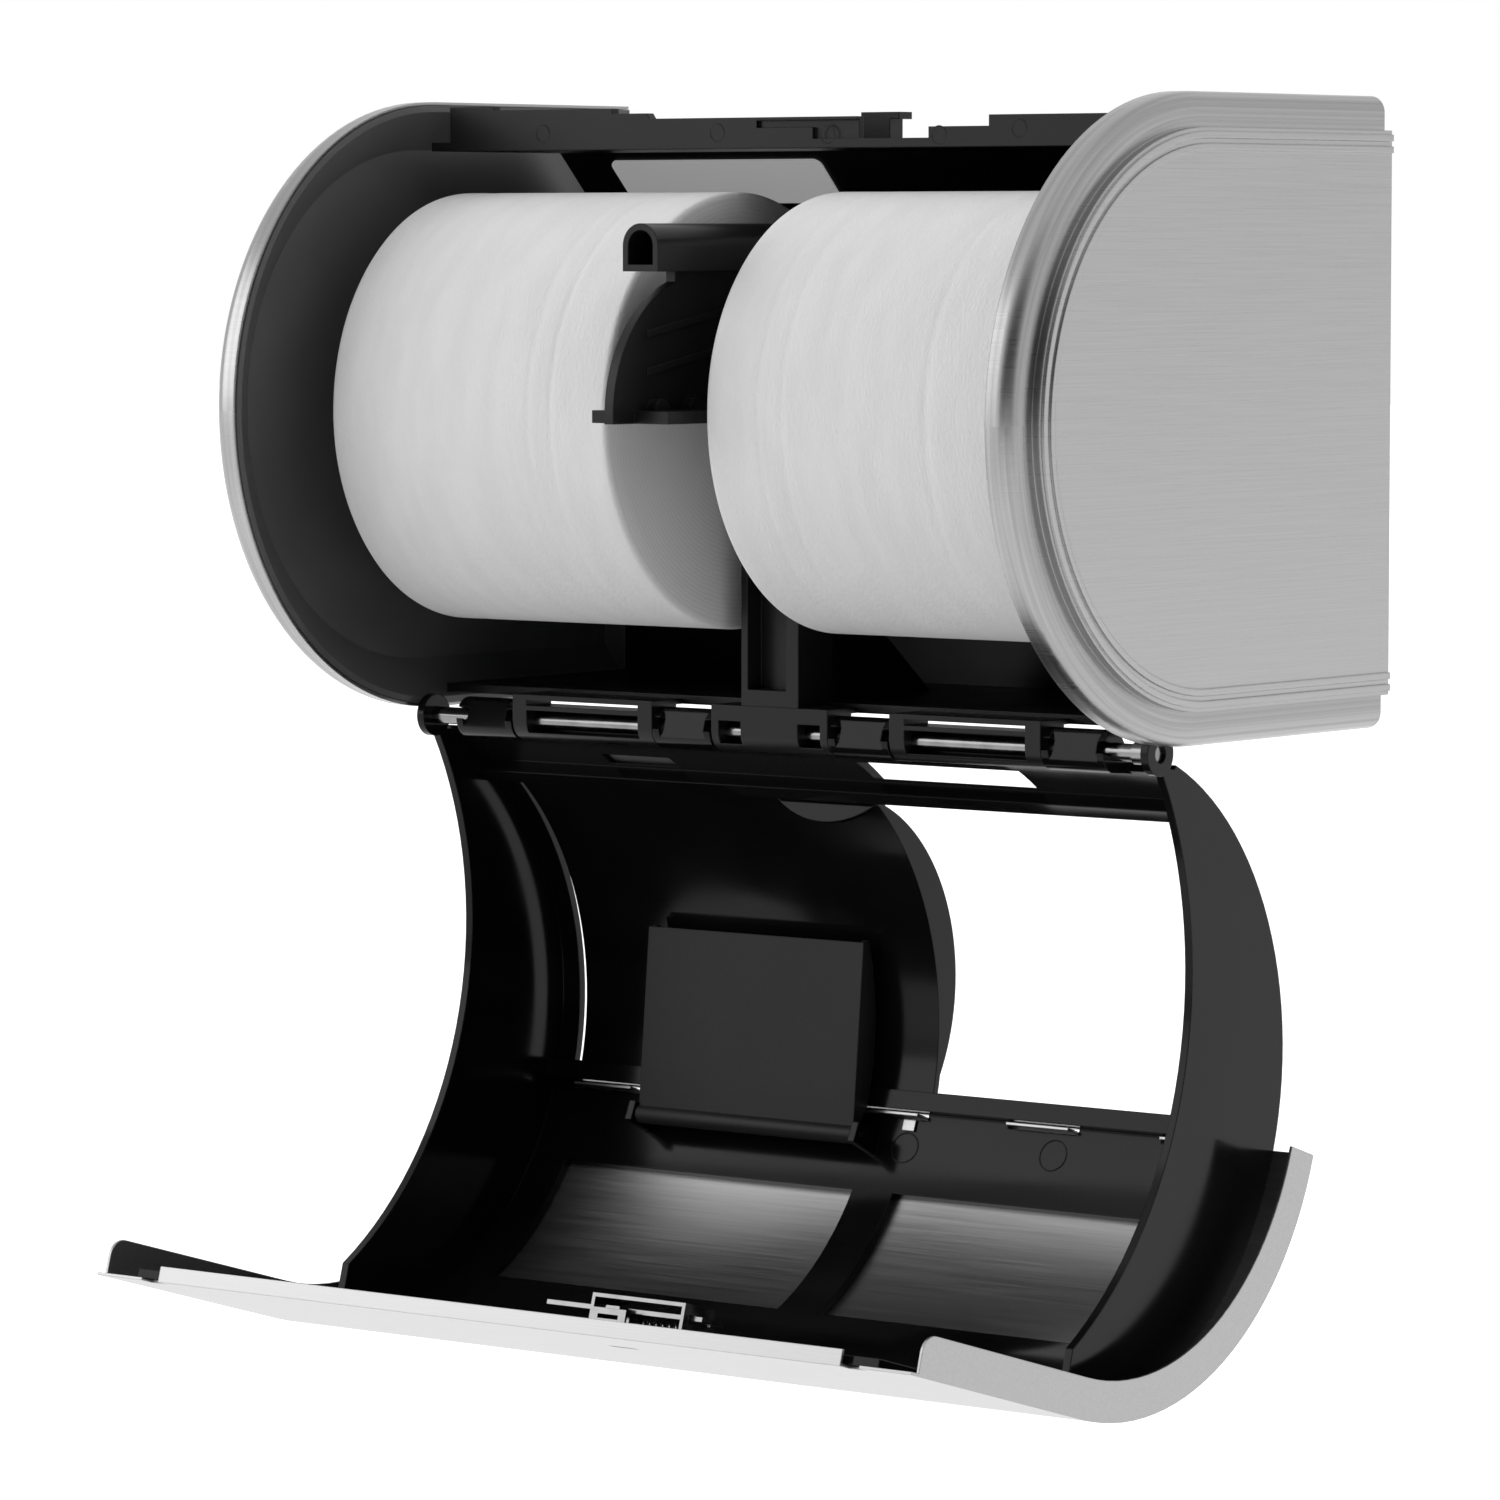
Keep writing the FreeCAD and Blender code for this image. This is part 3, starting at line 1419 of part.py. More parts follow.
spring_rise = latch_high + size["latch_spring_radius"] + size["latch_spring_wire"]
latch_spring = coil_spring(
    "latch_spring",
    (stop_right + size["spring_end_gap"]).value,
    (leg_right - metal - size["spring_end_gap"]).value,
    size["latch_spring_turn_count"].value,
    size["latch_spring_radius"].value,
    size["latch_spring_wire"].value,
    (-size["lock_depth"].value, spring_rise.value),
)
hang_open(latch_spring)

doc.recompute()
os.makedirs("parts", exist_ok=True)
for piece in doc.Objects:
    if "Invalid" in piece.State or "Error" in piece.State:
        raise RuntimeError(piece.Label + " did not compute")
    whole = piece.isDerivedFrom("PartDesign::Body") or piece.TypeId == "Part::Feature"
    if not whole:
        continue
    if piece.Shape.isNull() or not piece.Shape.isValid() or len(piece.Shape.Solids) != 1:
        raise RuntimeError(piece.Label + " is not one sound solid")
    piece.Shape.exportStep("parts/%s.step" % piece.Label)
    print("%s %.0f mm3" % (piece.Label, piece.Shape.Volume))
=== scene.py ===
import json
import math

import bmesh
import bpy
import numpy as np
from mathutils import Matrix, Vector


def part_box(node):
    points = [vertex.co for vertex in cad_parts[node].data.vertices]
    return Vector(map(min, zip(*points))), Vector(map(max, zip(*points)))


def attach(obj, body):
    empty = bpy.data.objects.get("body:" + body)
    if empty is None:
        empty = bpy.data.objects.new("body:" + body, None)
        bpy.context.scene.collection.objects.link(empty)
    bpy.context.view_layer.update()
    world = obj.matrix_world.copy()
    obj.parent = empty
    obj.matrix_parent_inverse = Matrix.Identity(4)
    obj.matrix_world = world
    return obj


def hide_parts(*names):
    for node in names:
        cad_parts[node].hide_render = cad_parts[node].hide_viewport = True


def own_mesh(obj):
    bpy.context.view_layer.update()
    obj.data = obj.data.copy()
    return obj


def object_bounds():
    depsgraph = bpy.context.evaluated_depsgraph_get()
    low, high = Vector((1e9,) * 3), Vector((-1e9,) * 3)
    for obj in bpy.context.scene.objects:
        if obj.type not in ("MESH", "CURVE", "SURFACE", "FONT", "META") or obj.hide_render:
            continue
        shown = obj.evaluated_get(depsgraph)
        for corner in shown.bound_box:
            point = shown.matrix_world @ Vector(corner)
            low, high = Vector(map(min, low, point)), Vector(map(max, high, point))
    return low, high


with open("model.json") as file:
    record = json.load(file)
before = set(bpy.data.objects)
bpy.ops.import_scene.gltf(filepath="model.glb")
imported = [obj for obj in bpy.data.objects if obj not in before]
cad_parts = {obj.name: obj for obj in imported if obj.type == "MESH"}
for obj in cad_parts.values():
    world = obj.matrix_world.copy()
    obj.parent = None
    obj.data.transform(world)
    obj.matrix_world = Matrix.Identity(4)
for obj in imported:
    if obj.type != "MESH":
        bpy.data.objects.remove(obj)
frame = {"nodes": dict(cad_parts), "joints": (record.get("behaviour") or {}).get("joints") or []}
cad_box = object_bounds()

# Studio: a pale seamless floor far under the hung dispenser and white surroundings,
# darker behind the camera so that black plastic stays deep, with large soft lamps.
# The camera looks from the right at roll height through a long lens.
scene = bpy.context.scene
scene.view_settings.view_transform = "Standard"
white = (1, 1, 1, 1)


def new_material(name):
    material = bpy.data.materials.new(name)
    material.use_nodes = True
    tree = material.node_tree
    return material, tree, tree.nodes["Principled BSDF"]


def add_noise(tree, scale, detail, stretch=(1, 1, 1)):
    """Noise in the object's own frame, stretched along its axes."""
    place = tree.nodes.new("ShaderNodeTexCoord")
    mapping = tree.nodes.new("ShaderNodeMapping")
    mapping.inputs["Scale"].default_value = stretch
    noise = tree.nodes.new("ShaderNodeTexNoise")
    noise.inputs["Scale"].default_value = scale
    noise.inputs["Detail"].default_value = detail
    tree.links.new(place.outputs["Object"], mapping.inputs["Vector"])
    tree.links.new(mapping.outputs["Vector"], noise.inputs["Vector"])
    return noise


def spread(tree, value, low, high, start=0.3, end=0.7):
    """Carries a value from its start and end to a low and a high, softly."""
    ranged = tree.nodes.new("ShaderNodeMapRange")
    ranged.interpolation_type = "SMOOTHSTEP"
    ranged.inputs["From Min"].default_value = start
    ranged.inputs["From Max"].default_value = end
    ranged.inputs["To Min"].default_value = low
    ranged.inputs["To Max"].default_value = high
    tree.links.new(value, ranged.inputs["Value"])
    return ranged.outputs["Result"]


def tint(tree, source, bsdf, dark, light):
    """Grey colour that wanders between two tones with a texture."""
    ramp = tree.nodes.new("ShaderNodeValToRGB")
    for element, position, tone in zip(ramp.color_ramp.elements, (0.35, 0.65), (dark, light)):
        element.position = position
        element.color = (tone, tone, tone, 1)
    tree.links.new(source.outputs["Fac"], ramp.inputs["Fac"])
    tree.links.new(ramp.outputs["Color"], bsdf.inputs["Base Color"])


def math_node(tree, kind, first, second):
    """Math node on two links or numbers."""
    made = tree.nodes.new("ShaderNodeMath")
    made.operation = kind
    for socket, value in zip(made.inputs, (first, second)):
        if isinstance(value, (int, float)):
            socket.default_value = value
        else:
            tree.links.new(value, socket)
    return made.outputs["Value"]


def backdrop_level(tree, lighting, shown):
    """Level for rays that light the object, and for rays that show the backdrop."""
    ray = tree.nodes.new("ShaderNodeLightPath")
    seen = math_node(tree, "MAXIMUM", ray.outputs["Is Camera Ray"], ray.outputs["Is Glossy Ray"])
    return spread(tree, seen, lighting, shown, start=0.0, end=1.0)


floor_gap = 0.6
floor_width = 60
floor_white, tree, bsdf = new_material("floor_white")
mottle = add_noise(tree, scale=3.0, detail=2.0)
tint(tree, mottle, bsdf, dark=0.9, light=0.92)
bsdf.inputs["Roughness"].default_value = 0.9
bsdf.inputs["Emission Color"].default_value = white
tree.links.new(backdrop_level(tree, lighting=0.0, shown=0.6), bsdf.inputs["Emission Strength"])
bpy.ops.mesh.primitive_plane_add(size=floor_width, location=(0, 0, cad_box[0][2] - floor_gap))
floor = bpy.context.object
floor.name = "studio_floor"
floor.data.materials.append(floor_white)

eye = Vector((1.1675, -1.6158, 0.0487))
eye_dip_degrees = 4.21
eye_swing_degrees = 37.72
camera = bpy.data.cameras.new("camera")
camera.sensor_width = 36
camera.lens = 168.3
camera_holder = bpy.data.objects.new("camera", camera)
camera_holder.location = eye
camera_holder.rotation_euler = (
    math.radians(90 - eye_dip_degrees),
    0,
    math.radians(eye_swing_degrees),
)
scene.collection.objects.link(camera_holder)
scene.camera = camera_holder

world = bpy.data.worlds.new("studio_white")
scene.world = world
world.use_nodes = True
tree = world.node_tree
surroundings = tree.nodes["Background"]
surroundings.inputs["Color"].default_value = white
way = tree.nodes.new("ShaderNodeTexCoord")
toward_eye = tree.nodes.new("ShaderNodeVectorMath")
toward_eye.operation = "DOT_PRODUCT"
toward_eye.inputs[1].default_value = Vector((eye.x, eye.y, 0)).normalized()
tree.links.new(way.outputs["Generated"], toward_eye.inputs[0])
dimmed = spread(tree, toward_eye.outputs["Value"], low=1.0, high=0.06, start=0.45, end=0.92)
shine = math_node(tree, "MULTIPLY", dimmed, backdrop_level(tree, lighting=0.92, shown=1.0))
tree.links.new(shine, surroundings.inputs["Strength"])

lamp_aim = Vector((0, -0.1, 0))


def soft_lamp(name, place, width, power):
    lamp = bpy.data.lights.new(name, "AREA")
    lamp.size = width
    lamp.energy = power
    holder = bpy.data.objects.new(name, lamp)
    holder.location = place
    holder.rotation_euler = (lamp_aim - Vector(place)).to_track_quat("-Z", "Y").to_euler()
    scene.collection.objects.link(holder)


soft_lamp("lamp_left", place=(-1.6, -1.5, 0.7), width=1.4, power=11)
soft_lamp("lamp_low", place=(0.2, -1.6, -1.2), width=1.0, power=1.5)

# Back chassis: one black injection moulding screwed to the wall, with the walls,
# stepped top rail, keeper hook, hinge barrels and centre post. Faint round marks of
# the mould's ejector pins show along the rail.
nodes = frame["nodes"]


def dull(tree, source, bsdf, low, high):
    """Roughness that wanders with a texture."""
    tree.links.new(spread(tree, source.outputs["Fac"], low, high), bsdf.inputs["Roughness"])


def roughen(tree, source, bsdf, strength, distance, edge=0.0):
    """Bump from a texture, over edges softened by the given radius."""
    bump = tree.nodes.new("ShaderNodeBump")
    bump.inputs["Strength"].default_value = strength
    bump.inputs["Distance"].default_value = distance
    tree.links.new(source.outputs["Fac"], bump.inputs["Height"])
    if edge:
        soft = tree.nodes.new("ShaderNodeBevel")
        soft.inputs["Radius"].default_value = edge
        tree.links.new(soft.outputs["Normal"], bump.inputs["Normal"])
    tree.links.new(bump.outputs["Normal"], bsdf.inputs["Normal"])


def moulded_plastic(name, grain_scale, patch_scale, tones, roughness, gloss, bump):
    """Black plastic with a fine mould grain over broad, faint patches."""
    plastic, tree, bsdf = new_material(name)
    grain = add_noise(tree, scale=grain_scale, detail=2.0)
    patch = add_noise(tree, scale=patch_scale, detail=3.0)
    tint(tree, patch, bsdf, *tones)
    dull(tree, patch, bsdf, *roughness)
    bsdf.inputs["Specular IOR Level"].default_value = gloss
    roughen(tree, grain, bsdf, strength=bump, distance=0.0002, edge=0.0005)
    return plastic


def finish_node(name, material):
    """Gives a piece of the CAD model its finish and smooth shading."""
    piece = nodes[name]
    piece.data.materials.clear()
    piece.data.materials.append(material)
    for polygon in piece.data.polygons:
        polygon.use_smooth = True


def new_piece(name, form, material, body):
    """Turns a bmesh into a piece that moves with a body."""
    mesh = bpy.data.meshes.new(name)
    bmesh.ops.recalc_face_normals(form, faces=form.faces)
    form.to_mesh(mesh)
    form.free()
    mesh.materials.append(material)
    piece = bpy.data.objects.new(name, mesh)
    scene.collection.objects.link(piece)
    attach(piece, body)
    return piece


black_plastic = moulded_plastic(
    "black_plastic",
    grain_scale=1400.0,
    patch_scale=14.0,
    tones=(0.006, 0.010),
    roughness=(0.28, 0.38),
    gloss=0.2,
    bump=0.10,
)
finish_node("back_chassis", black_plastic)

rail_face = -0.090
rail_mark_places = (
    (-0.086, 0.0768),
    (-0.024, 0.0765),
    (0.014, 0.0757),
    (0.0515, 0.0752),
    (0.078, 0.0768),
)
rail_mark_radius = 0.0024
mark_wire = 0.0002
mark_sides = 28


def ring_mark(form, radius, spot):
    """Adds a raised ring, where spot turns across, along and rise into a point."""
    loops = []
    for step in range(mark_sides):
        angle = 2 * math.pi * step / mark_sides
        loop = []
        for grow, rise in ((-mark_wire, 0), (0, mark_wire / 2), (mark_wire, 0)):
            far = radius + grow
            loop.append(form.verts.new(spot(far * math.cos(angle), far * math.sin(angle), rise)))
        loops.append(loop)
    for here, there in zip(loops, loops[1:] + loops[:1]):
        form.faces.new((here[0], there[0], there[1], here[1]))
        form.faces.new((here[1], there[1], there[2], here[2]))


def on_rail(x, z):
    """Places round a point of the rail's front face."""
    return lambda across, along, rise: Vector((x + across, rail_face - rise, z + along))


marks = bmesh.new()
for x, z in rail_mark_places:
    ring_mark(marks, rail_mark_radius, on_rail(x, z))
new_piece("ejector_marks", marks, black_plastic, "chassis")

# End walls: black moulded trays, drafted and shallow, with a satin grain. They close
# the ends of the chassis and are snapped inside the steel caps.
satin_black = moulded_plastic(
    "satin_black",
    grain_scale=2200.0,
    patch_scale=16.0,
    tones=(0.085, 0.105),
    roughness=(0.40, 0.50),
    gloss=0.5,
    bump=0.12,
)
for name in ("left_end_wall", "right_end_wall"):
    finish_node(name, satin_black)

# End caps: stainless sheet pressed to a D with a rolled rim and a double bead. The face is
# brushed level; the rim, drawn round the press tool, is streaked, and its darker colour is a
# painted dark reflection.


def joint_named(name):
    return next(joint for joint in frame["joints"] if joint["name"] == name)


axis_depth = -joint_named("left_roll_spin")["pos_m"][1]
panel_radius = 0.0762
panel_edge = 0.0006
streak_scale = 900.0
streak_drift = 0.0015

brushed_steel, tree, bsdf = new_material("brushed_steel")
lines = add_noise(tree, scale=1.0, detail=4.0, stretch=(60, 25, 3600))
place = tree.nodes.new("ShaderNodeTexCoord")
parts = tree.nodes.new("ShaderNodeSeparateXYZ")
tree.links.new(place.outputs["Object"], parts.inputs["Vector"])
ahead = math_node(tree, "MINIMUM", math_node(tree, "ADD", parts.outputs["Y"], axis_depth), 0.0)
ahead_squared = math_node(tree, "MULTIPLY", ahead, ahead)
height_squared = math_node(tree, "MULTIPLY", parts.outputs["Z"], parts.outputs["Z"])
reach = math_node(tree, "SQRT", math_node(tree, "ADD", ahead_squared, height_squared), 0.0)
turn = math_node(tree, "ARCTAN2", parts.outputs["Z"], ahead)

round_way = tree.nodes.new("ShaderNodeCombineXYZ")
tree.links.new(parts.outputs["X"], round_way.inputs["X"])
tree.links.new(reach, round_way.inputs["Y"])
tree.links.new(math_node(tree, "MULTIPLY", turn, streak_drift), round_way.inputs["Z"])
streaks = tree.nodes.new("ShaderNodeTexNoise")
streaks.inputs["Scale"].default_value = streak_scale
streaks.inputs["Detail"].default_value = 4.0
tree.links.new(round_way.outputs["Vector"], streaks.inputs["Vector"])

# Past the panel's edge the base colour turns darker: a painted dark reflection on the bead and
# rim, laid over the drawn streaks.
rim_painted_dark = spread(tree, reach, low=0.0, high=1.0, start=panel_radius, end=panel_radius + panel_edge)
tone = tree.nodes.new("ShaderNodeMix")
tree.links.new(rim_painted_dark, tone.inputs["Factor"])
tree.links.new(spread(tree, lines.outputs["Fac"], low=0.35, high=0.385), tone.inputs["A"])
tree.links.new(spread(tree, streaks.outputs["Fac"], low=0.28, high=0.36), tone.inputs["B"])
tree.links.new(tone.outputs["Result"], bsdf.inputs["Base Color"])
dull(tree, lines, bsdf, low=0.27, high=0.34)
bsdf.inputs["Metallic"].default_value = 1.0
roughen(tree, lines, bsdf, strength=0.05, distance=0.0001, edge=0.0006)
for name in ("left_end_cap", "right_end_cap"):
    finish_node(name, brushed_steel)

# Centre roll arm: a black moulding that carries the inner ends of both rolls, with a
# hollow tube, a web and a flange. Two zinc-plated screws hold it to the back wall.


def bare_metal(name, patch_scale, detail, tones, roughness):
    """Smooth metal with faint cloudy patches."""
    metal, tree, bsdf = new_material(name)
    patch = add_noise(tree, patch_scale, detail)
    tint(tree, patch, bsdf, *tones)
    dull(tree, patch, bsdf, *roughness)
    bsdf.inputs["Metallic"].default_value = 1.0
    return metal


zinc_steel = bare_metal(
    "zinc_steel", patch_scale=160.0, detail=3.0, tones=(0.18, 0.24), roughness=(0.16, 0.24)
)
finish_node("centre_roll_arm", black_plastic)
for name in ("arm_screw_left", "arm_screw_right"):
    finish_node(name, zinc_steel)

# Hinge rod: a drawn steel rod, pushed through the chassis barrels and the cover's
# knuckles, on which the cover swings down.
finish_node("hinge_rod", zinc_steel)

# Roll hubs: black plungers held in their cups by collars, each pushed out by a coil
# of drawn wire that closes up when the plunger goes in.
spring_wire = bare_metal(
    "spring_wire", patch_scale=400.0, detail=2.0, tones=(0.40, 0.50), roughness=(0.2, 0.32)
)
coil_turns = 7
steps_per_turn = 28
wire_radius = 0.00045
wire_sides = 8


def hub_coil(side):
    """Coil in the place of a hub spring, wound at an even pitch."""
    name = side + "_hub_spring"
    low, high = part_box(name)
    middle = (low + high) / 2
    coil_radius = (high.z - low.z) / 2 - wire_radius
    start = Vector((low.x + wire_radius, middle.y, middle.z))
    end = Vector((high.x - wire_radius, middle.y, middle.z))
    form = bmesh.new()
    steps = coil_turns * steps_per_turn
    rings = []
    for step in range(steps + 1):
        angle = 2 * math.pi * step / steps_per_turn
        out = Vector((0, math.cos(angle), math.sin(angle)))
        centre = start.lerp(end, step / steps) + out * coil_radius
        ring = []
        for corner in range(wire_sides):
            bend = 2 * math.pi * corner / wire_sides
            offset = out * math.cos(bend) + Vector((math.sin(bend), 0, 0))
            ring.append(form.verts.new(centre + offset * wire_radius))
        rings.append(ring)
    for here, there in zip(rings, rings[1:]):
        for corner in range(wire_sides):
            side_face = (here[corner - 1], here[corner], there[corner], there[corner - 1])
            form.faces.new(side_face).smooth = True
    form.faces.new(rings[0])
    form.faces.new(rings[-1])
    piece = new_piece(side + "_hub_coil", form, spring_wire, "chassis")
    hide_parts(name)
    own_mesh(piece)


for side, seat in (("left", -1), ("right", 1)):
    finish_node(side + "_hub", black_plastic)
    finish_node(side + "_hub_collar", black_plastic)
    hub_coil(side)

# Paper rolls: soft tissue wound without a core, a little uneven, with faint rings
# where the web was slit and creased, and layers showing on the ends.
paper, tree, bsdf = new_material("paper")
crepe = add_noise(tree, scale=700.0, detail=4.0, stretch=(2.2, 1, 1))
cloud = add_noise(tree, scale=40.0, detail=3.0, stretch=(4, 1, 1))
tint(tree, cloud, bsdf, dark=0.80, light=0.84)
bsdf.inputs["Roughness"].default_value = 0.95
bsdf.inputs["Sheen Weight"].default_value = 0.15
roughen(tree, crepe, bsdf, strength=0.45, distance=0.0005)

end_paper, tree, bsdf = new_material("end_paper")
place = tree.nodes.new("ShaderNodeTexCoord")
shift = tree.nodes.new("ShaderNodeMapping")
shift.inputs["Location"].default_value = (0, axis_depth, 0)
shift.inputs["Scale"].default_value = (0, 1, 1)
tree.links.new(place.outputs["Object"], shift.inputs["Vector"])
layers = tree.nodes.new("ShaderNodeTexWave")
layers.wave_type = "RINGS"
layers.rings_direction = "X"
layers.inputs["Scale"].default_value = 260.0
layers.inputs["Distortion"].default_value = 3.0
layers.inputs["Detail"].default_value = 3.0
tree.links.new(shift.outputs["Vector"], layers.inputs["Vector"])
tint(tree, layers, bsdf, dark=0.79, light=0.83)
bsdf.inputs["Roughness"].default_value = 0.95
roughen(tree, layers, bsdf, strength=0.10, distance=0.0002)

roll_bore_radius = 0.0066
roll_corner = 0.0016
roll_sides = 240
roll_rows = 120
corner_rows = 5
sway_waves = (2, 3, 5, 9)
sway_depth = 0.00032
end_puff = 0.0005
end_ring_shares = (0.9, 0.7, 0.5, 0.3, 0.15, 0.0)


def wound_roll(name, creases, seed):
    """Roll with creases, each a share of the length, a depth and a share it spreads over."""
    low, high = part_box(name)
    middle = (low + high) / 2
    radius = (high.z - low.z) / 2
    length = high.x - low.x
    rng = np.random.default_rng(seed)
    angles = np.linspace(0, 2 * math.pi, roll_sides, endpoint=False)
    sway = np.zeros(roll_sides)
    for wave in sway_waves:
        sway += rng.uniform(0.3, 1.0) / wave * np.cos(wave * angles + rng.uniform(0, 6.3))
    sway = (sway - sway.max()) * sway_depth
    # Creases are deeper on two opposite sides of the roll than between them.
    crease_fade = 0.6 + 0.4 * np.cos(angles * 2 + creases[-1][0] * 9)
    form = bmesh.new()

    def ring(x, reach):
        points = []
        for angle, far in zip(angles, reach):
            y = middle.y + far * math.cos(angle)
            z = middle.z + far * math.sin(angle)
            points.append(form.verts.new((x, y, z)))
        return points

    def join(here, there, material_index):
        for k in range(roll_sides):
            face = form.faces.new((here[k - 1], here[k], there[k], there[k - 1]))
            face.material_index = material_index
            face.smooth = True

    along = np.concatenate(
        [
            np.linspace(0, roll_corner, corner_rows)[:-1],
            np.linspace(roll_corner, length - roll_corner, roll_rows),
            np.linspace(length - roll_corner, length, corner_rows)[1:],
        ]
    )
    rows = []
    for x in along:
        from_end = min(x, length - x, roll_corner)
        drop = roll_corner - math.sqrt(max(roll_corner**2 - (roll_corner - from_end) ** 2, 0))
        dent = 0.0
        for place_share, depth, spread_share in creases:
            dent += depth * math.exp(-(((x / length - place_share) / spread_share) ** 2))
        rows.append(ring(low.x + x, radius - drop + sway - dent * crease_fade))
    for here, there in zip(rows, rows[1:]):
        join(here, there, 0)
    bore_ends = []
    for before, face_x, puff in ((rows[0], low.x, end_puff), (rows[-1], high.x, -end_puff)):
        for share in end_ring_shares:
            far = roll_bore_radius + (radius - roll_corner - roll_bore_radius) * share
            inner = ring(face_x + puff * math.sin(math.pi * share), np.full(roll_sides, far))
            join(before, inner, 1)
            before = inner
        bore_ends.append(before)
    join(bore_ends[0], bore_ends[1], 0)
    piece = new_piece(name + "_wound", form, paper, name)
    piece.data.materials.append(end_paper)
    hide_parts(name)


left_creases = ((0.72, 0.00022, 0.012), (0.80, 0.0003, 0.008), (0.10, 0.0002, 0.02))
right_creases = ((0.18, 0.00025, 0.012), (0.26, 0.0002, 0.01), (0.74, 0.00022, 0.012))
wound_roll("left_roll", left_creases, seed=4)
wound_roll("right_roll", right_creases, seed=9)

# Cover liner: one glossy black moulding that swings on the hinge rod, with cheeks,
# door guides and knuckles. A thin web closes the short vent in its hinge strip, and
# two ejector-pin marks show by the slots.
gloss_black, tree, bsdf = new_material("gloss_black")
ripple = add_noise(tree, scale=26.0, detail=2.0)
tint(tree, ripple, bsdf, dark=0.004, light=0.006)
dull(tree, ripple, bsdf, low=0.10, high=0.17)
bsdf.inputs["Specular IOR Level"].default_value = 0.14
roughen(tree, ripple, bsdf, strength=0.03, distance=0.001, edge=0.0005)
finish_node("cover_liner", gloss_black)

hinge = joint_named("cover_hinge")
hinge_place = Vector(hinge["pos_m"])
hang_open = (
    Matrix.Translation(hinge_place)
    @ Matrix.Rotation(math.radians(hinge["range_deg"][1]), 4, "X")
    @ Matrix.Translation(-hinge_place)
)


def sheet_form(corners, thick, hole=None):
    """Flat sheet from its corners in the shut cover's frame, with one hole if given."""
    form = bmesh.new()
    through = (corners[1] - corners[0]).cross(corners[2] - corners[1]).normalized() * thick
    rings = []
    for loop in (corners, hole) if hole else (corners,):
        near = [form.verts.new(hang_open @ point) for point in loop]
        far = [form.verts.new(hang_open @ (point + through)) for point in loop]
        for k in range(len(loop)):
            form.faces.new((near[k - 1], near[k], far[k], far[k - 1]))
        rings.append((near, far))
    for layer in range(2):
        outer = rings[0][layer]
        if not hole:
            form.faces.new(outer)
            continue
        inner = rings[1][layer]
        for k in range(len(outer)):
            form.faces.new((outer[k - 1], outer[k], inner[k], inner[k - 1]))
    return form


def round_rolls(x, radius, angle):
    """Point of the shut cover, by its radius and angle round the rolls' axis."""
    return Vector((x, radius * math.cos(angle) - axis_depth, radius * math.sin(angle)))


vent_left, vent_right = -0.0753, -0.0511
vent_front, vent_back = math.radians(247.6), math.radians(255.0)
web_radius = 0.0872
web_thick = 0.0003
web = [
    round_rolls(vent_left, web_radius, vent_front),
    round_rolls(vent_right, web_radius, vent_front),
    round_rolls(vent_right, web_radius, vent_back),
    round_rolls(vent_left, web_radius, vent_back),
]
new_piece("vent_web", sheet_form(web, web_thick), satin_black, "cover")

liner_radius = 0.0853
liner_mark_places = ((0.0063, 171.3), (0.0566, 172.6))
liner_mark_radius = 0.0044


def on_liner(x, degrees, lift):
    """Places round a point of the shut liner's inner face, lifted off it."""

    def spot(across, along, rise):
        angle = math.radians(degrees) + along / liner_radius
        return round_rolls(x + across, liner_radius - lift - rise, angle)

    return spot


def hung(spot):
    return lambda across, along, rise: hang_open @ spot(across, along, rise)


liner_marks = bmesh.new()
for x, degrees in liner_mark_places:
    ring_mark(liner_marks, liner_mark_radius, hung(on_liner(x, degrees, mark_wire / 2)))
new_piece("liner_ejector_marks", liner_marks, gloss_black, "cover")

# Cover skin: brushed stainless sheet folded round the liner. Its tabs pass through
# slots, and one of them has a tongue bent down over the liner.
skin_steel, tree, bsdf = new_material("skin_steel")
lines = add_noise(tree, scale=1.0, detail=4.0, stretch=(25, 2600, 2600))
tint(tree, lines, bsdf, dark=0.34, light=0.39)
dull(tree, lines, bsdf, low=0.28, high=0.36)
bsdf.inputs["Metallic"].default_value = 1.0
roughen(tree, lines, bsdf, strength=0.05, distance=0.0001, edge=0.0004)
finish_node("cover_skin", skin_steel)

tongue_half_width = 0.0021
tongue_half_drop = 0.0016
tongue_thick = 0.0005
tongue_spot = on_liner(x=0.0063, degrees=175.7, lift=0.0002)
tongue = [
    tongue_spot(tongue_half_width, tongue_half_drop, 0),
    tongue_spot(-tongue_half_width, tongue_half_drop, 0),
    tongue_spot(-tongue_half_width, -tongue_half_drop, 0),
    tongue_spot(tongue_half_width, -tongue_half_drop, 0),
]
new_piece("skin_tongue", sheet_form(tongue, tongue_thick), skin_steel, "cover")

# Sliding door: a curved, glossy black moulding with a crescent grip edge. It runs in
# the liner's guides and shuts off one roll at a time.
finish_node("sliding_door", gloss_black)

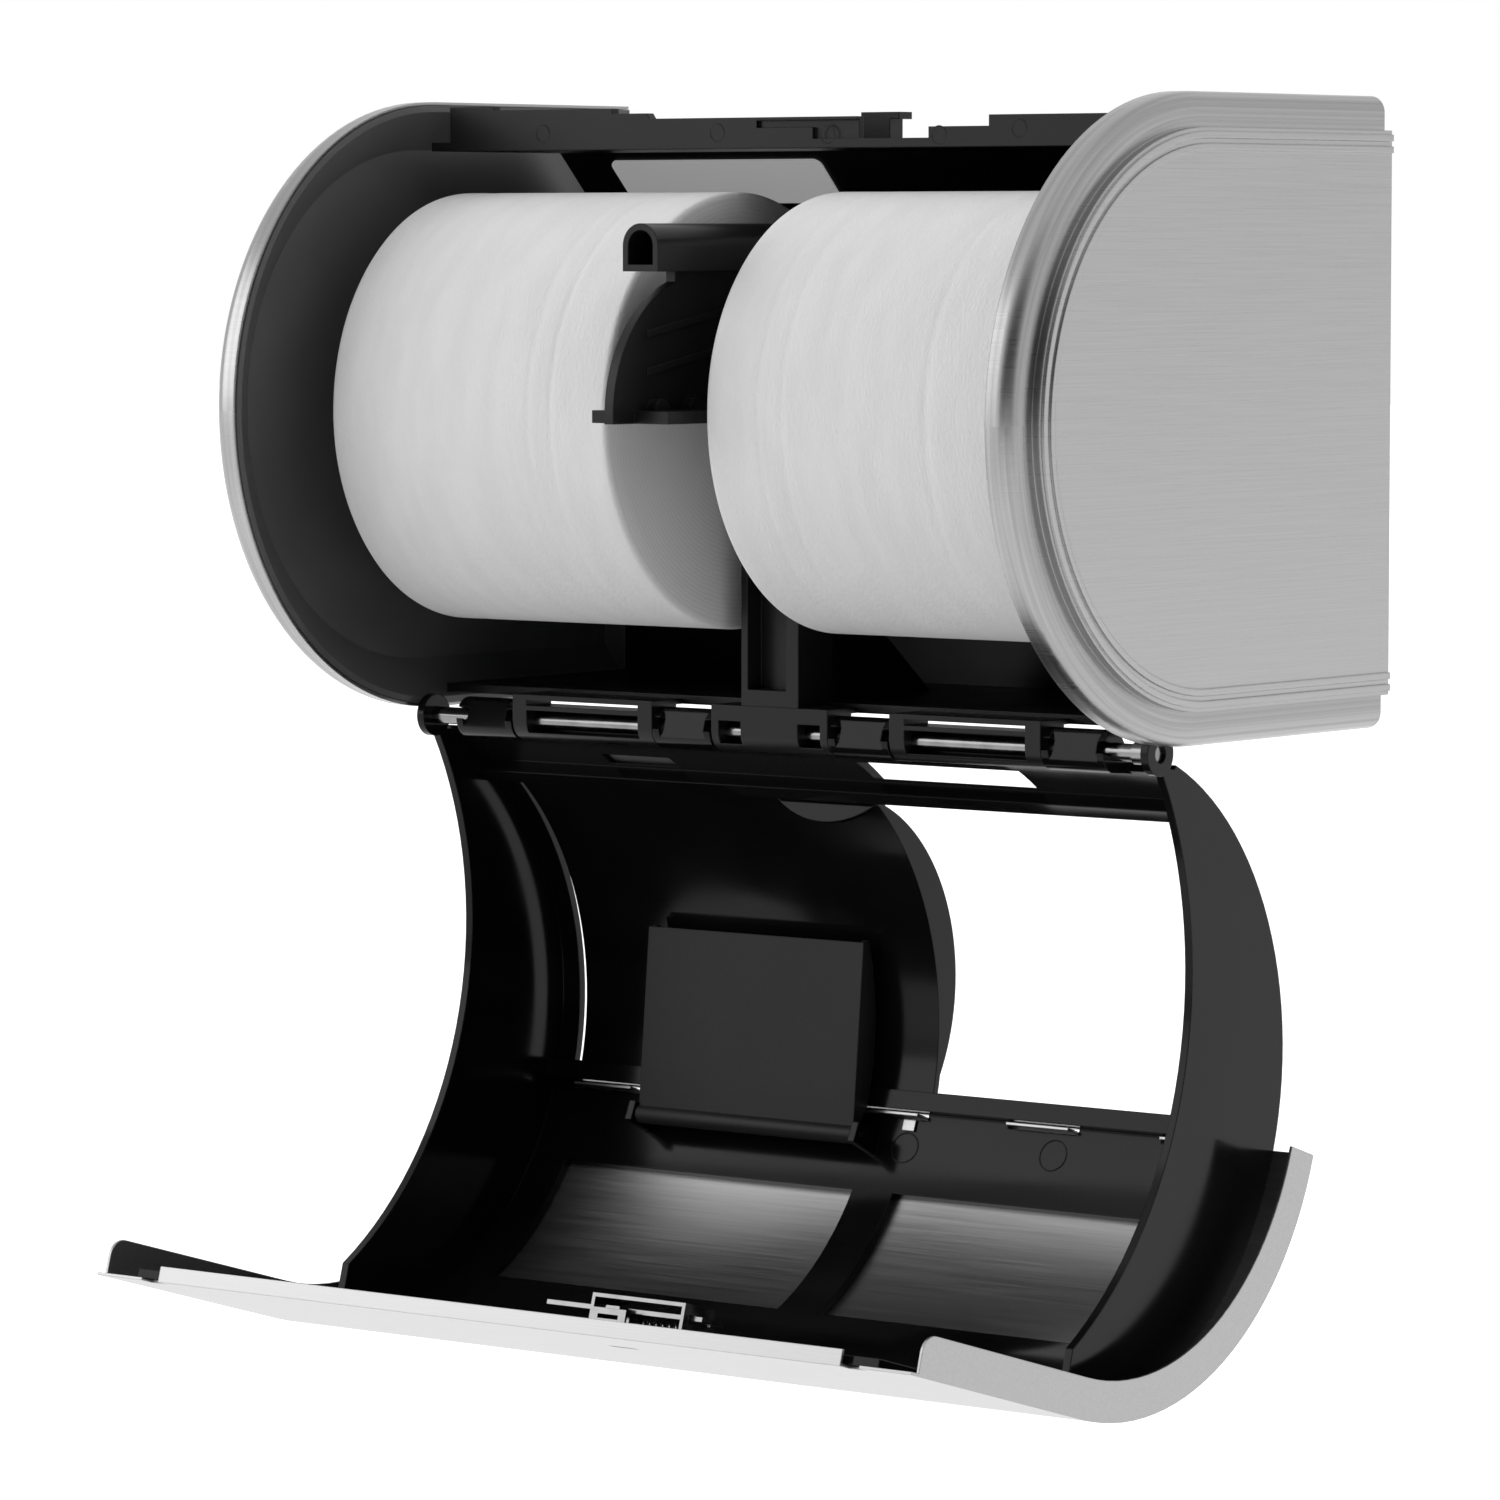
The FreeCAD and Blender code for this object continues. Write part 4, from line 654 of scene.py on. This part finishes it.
# Flap: a dull black moulded box lid over the door. It is hinged on a plain steel pin
# that is held in two ears of the liner.
dull_black = moulded_plastic(
    "dull_black",
    grain_scale=1800.0,
    patch_scale=20.0,
    tones=(0.016, 0.022),
    roughness=(0.42, 0.52),
    gloss=0.22,
    bump=0.15,
)
finish_node("roll_flap", dull_black)
finish_node("flap_pin", zinc_steel)

# Lock: zinc-plated bracket riveted to the cover, with a sliding latch plate, its
# turned-up finger tab with a slot, and a small coil spring.
for name in ("latch_bracket", "latch_rivet_left", "latch_rivet_right", "latch_plate"):
    finish_node(name, zinc_steel)
finish_node("latch_spring", spring_wire)

tab_depth = -0.0288
tab_low, tab_high = 0.0795, 0.0839
tab_left, tab_right = 0.0198, 0.0314
tab_thick = 0.0008
slot_inset = 0.0024
slot_low, slot_high = 0.0811, 0.0823
neck_left, neck_right = tab_left + slot_inset * 2, tab_right - slot_inset
neck_back = -0.0326
neck_low = 0.0787
neck_thick = 0.0009


def upright(left, right, low, high):
    """Four corners across the cover at the tab's depth."""
    spots = ((left, low), (right, low), (right, high), (left, high))
    return [Vector((x, tab_depth, z)) for x, z in spots]


tab = upright(tab_left, tab_right, tab_low, tab_high)
tab_slot = upright(tab_left + slot_inset, tab_right - slot_inset, slot_low, slot_high)
new_piece("latch_tab", sheet_form(tab, tab_thick, tab_slot), zinc_steel, "latch")
neck = [
    Vector((neck_left, neck_back, neck_low)),
    Vector((neck_right, neck_back, neck_low)),
    Vector((neck_right, tab_depth, neck_low)),
    Vector((neck_left, tab_depth, neck_low)),
]
new_piece("latch_tab_neck", sheet_form(neck, neck_thick), zinc_steel, "latch")

# Label plate: a thin, bare, pale plate stuck on the sloped inner corner of the chassis.
# A faint painted glow, emission on the plate, keeps it pale in the shade there.
label_painted_glow, tree, bsdf = new_material("label_painted_glow")
patch = add_noise(tree, scale=40.0, detail=2.0)
tint(tree, patch, bsdf, dark=0.80, light=0.86)
bsdf.inputs["Roughness"].default_value = 0.4
# Painted glow: the plate gives off light of its own so that it stays pale in the shade.
bsdf.inputs["Emission Color"].default_value = white
bsdf.inputs["Emission Strength"].default_value = 0.24
roughen(tree, patch, bsdf, strength=0.03, distance=0.0002)
finish_node("label_plate", label_painted_glow)
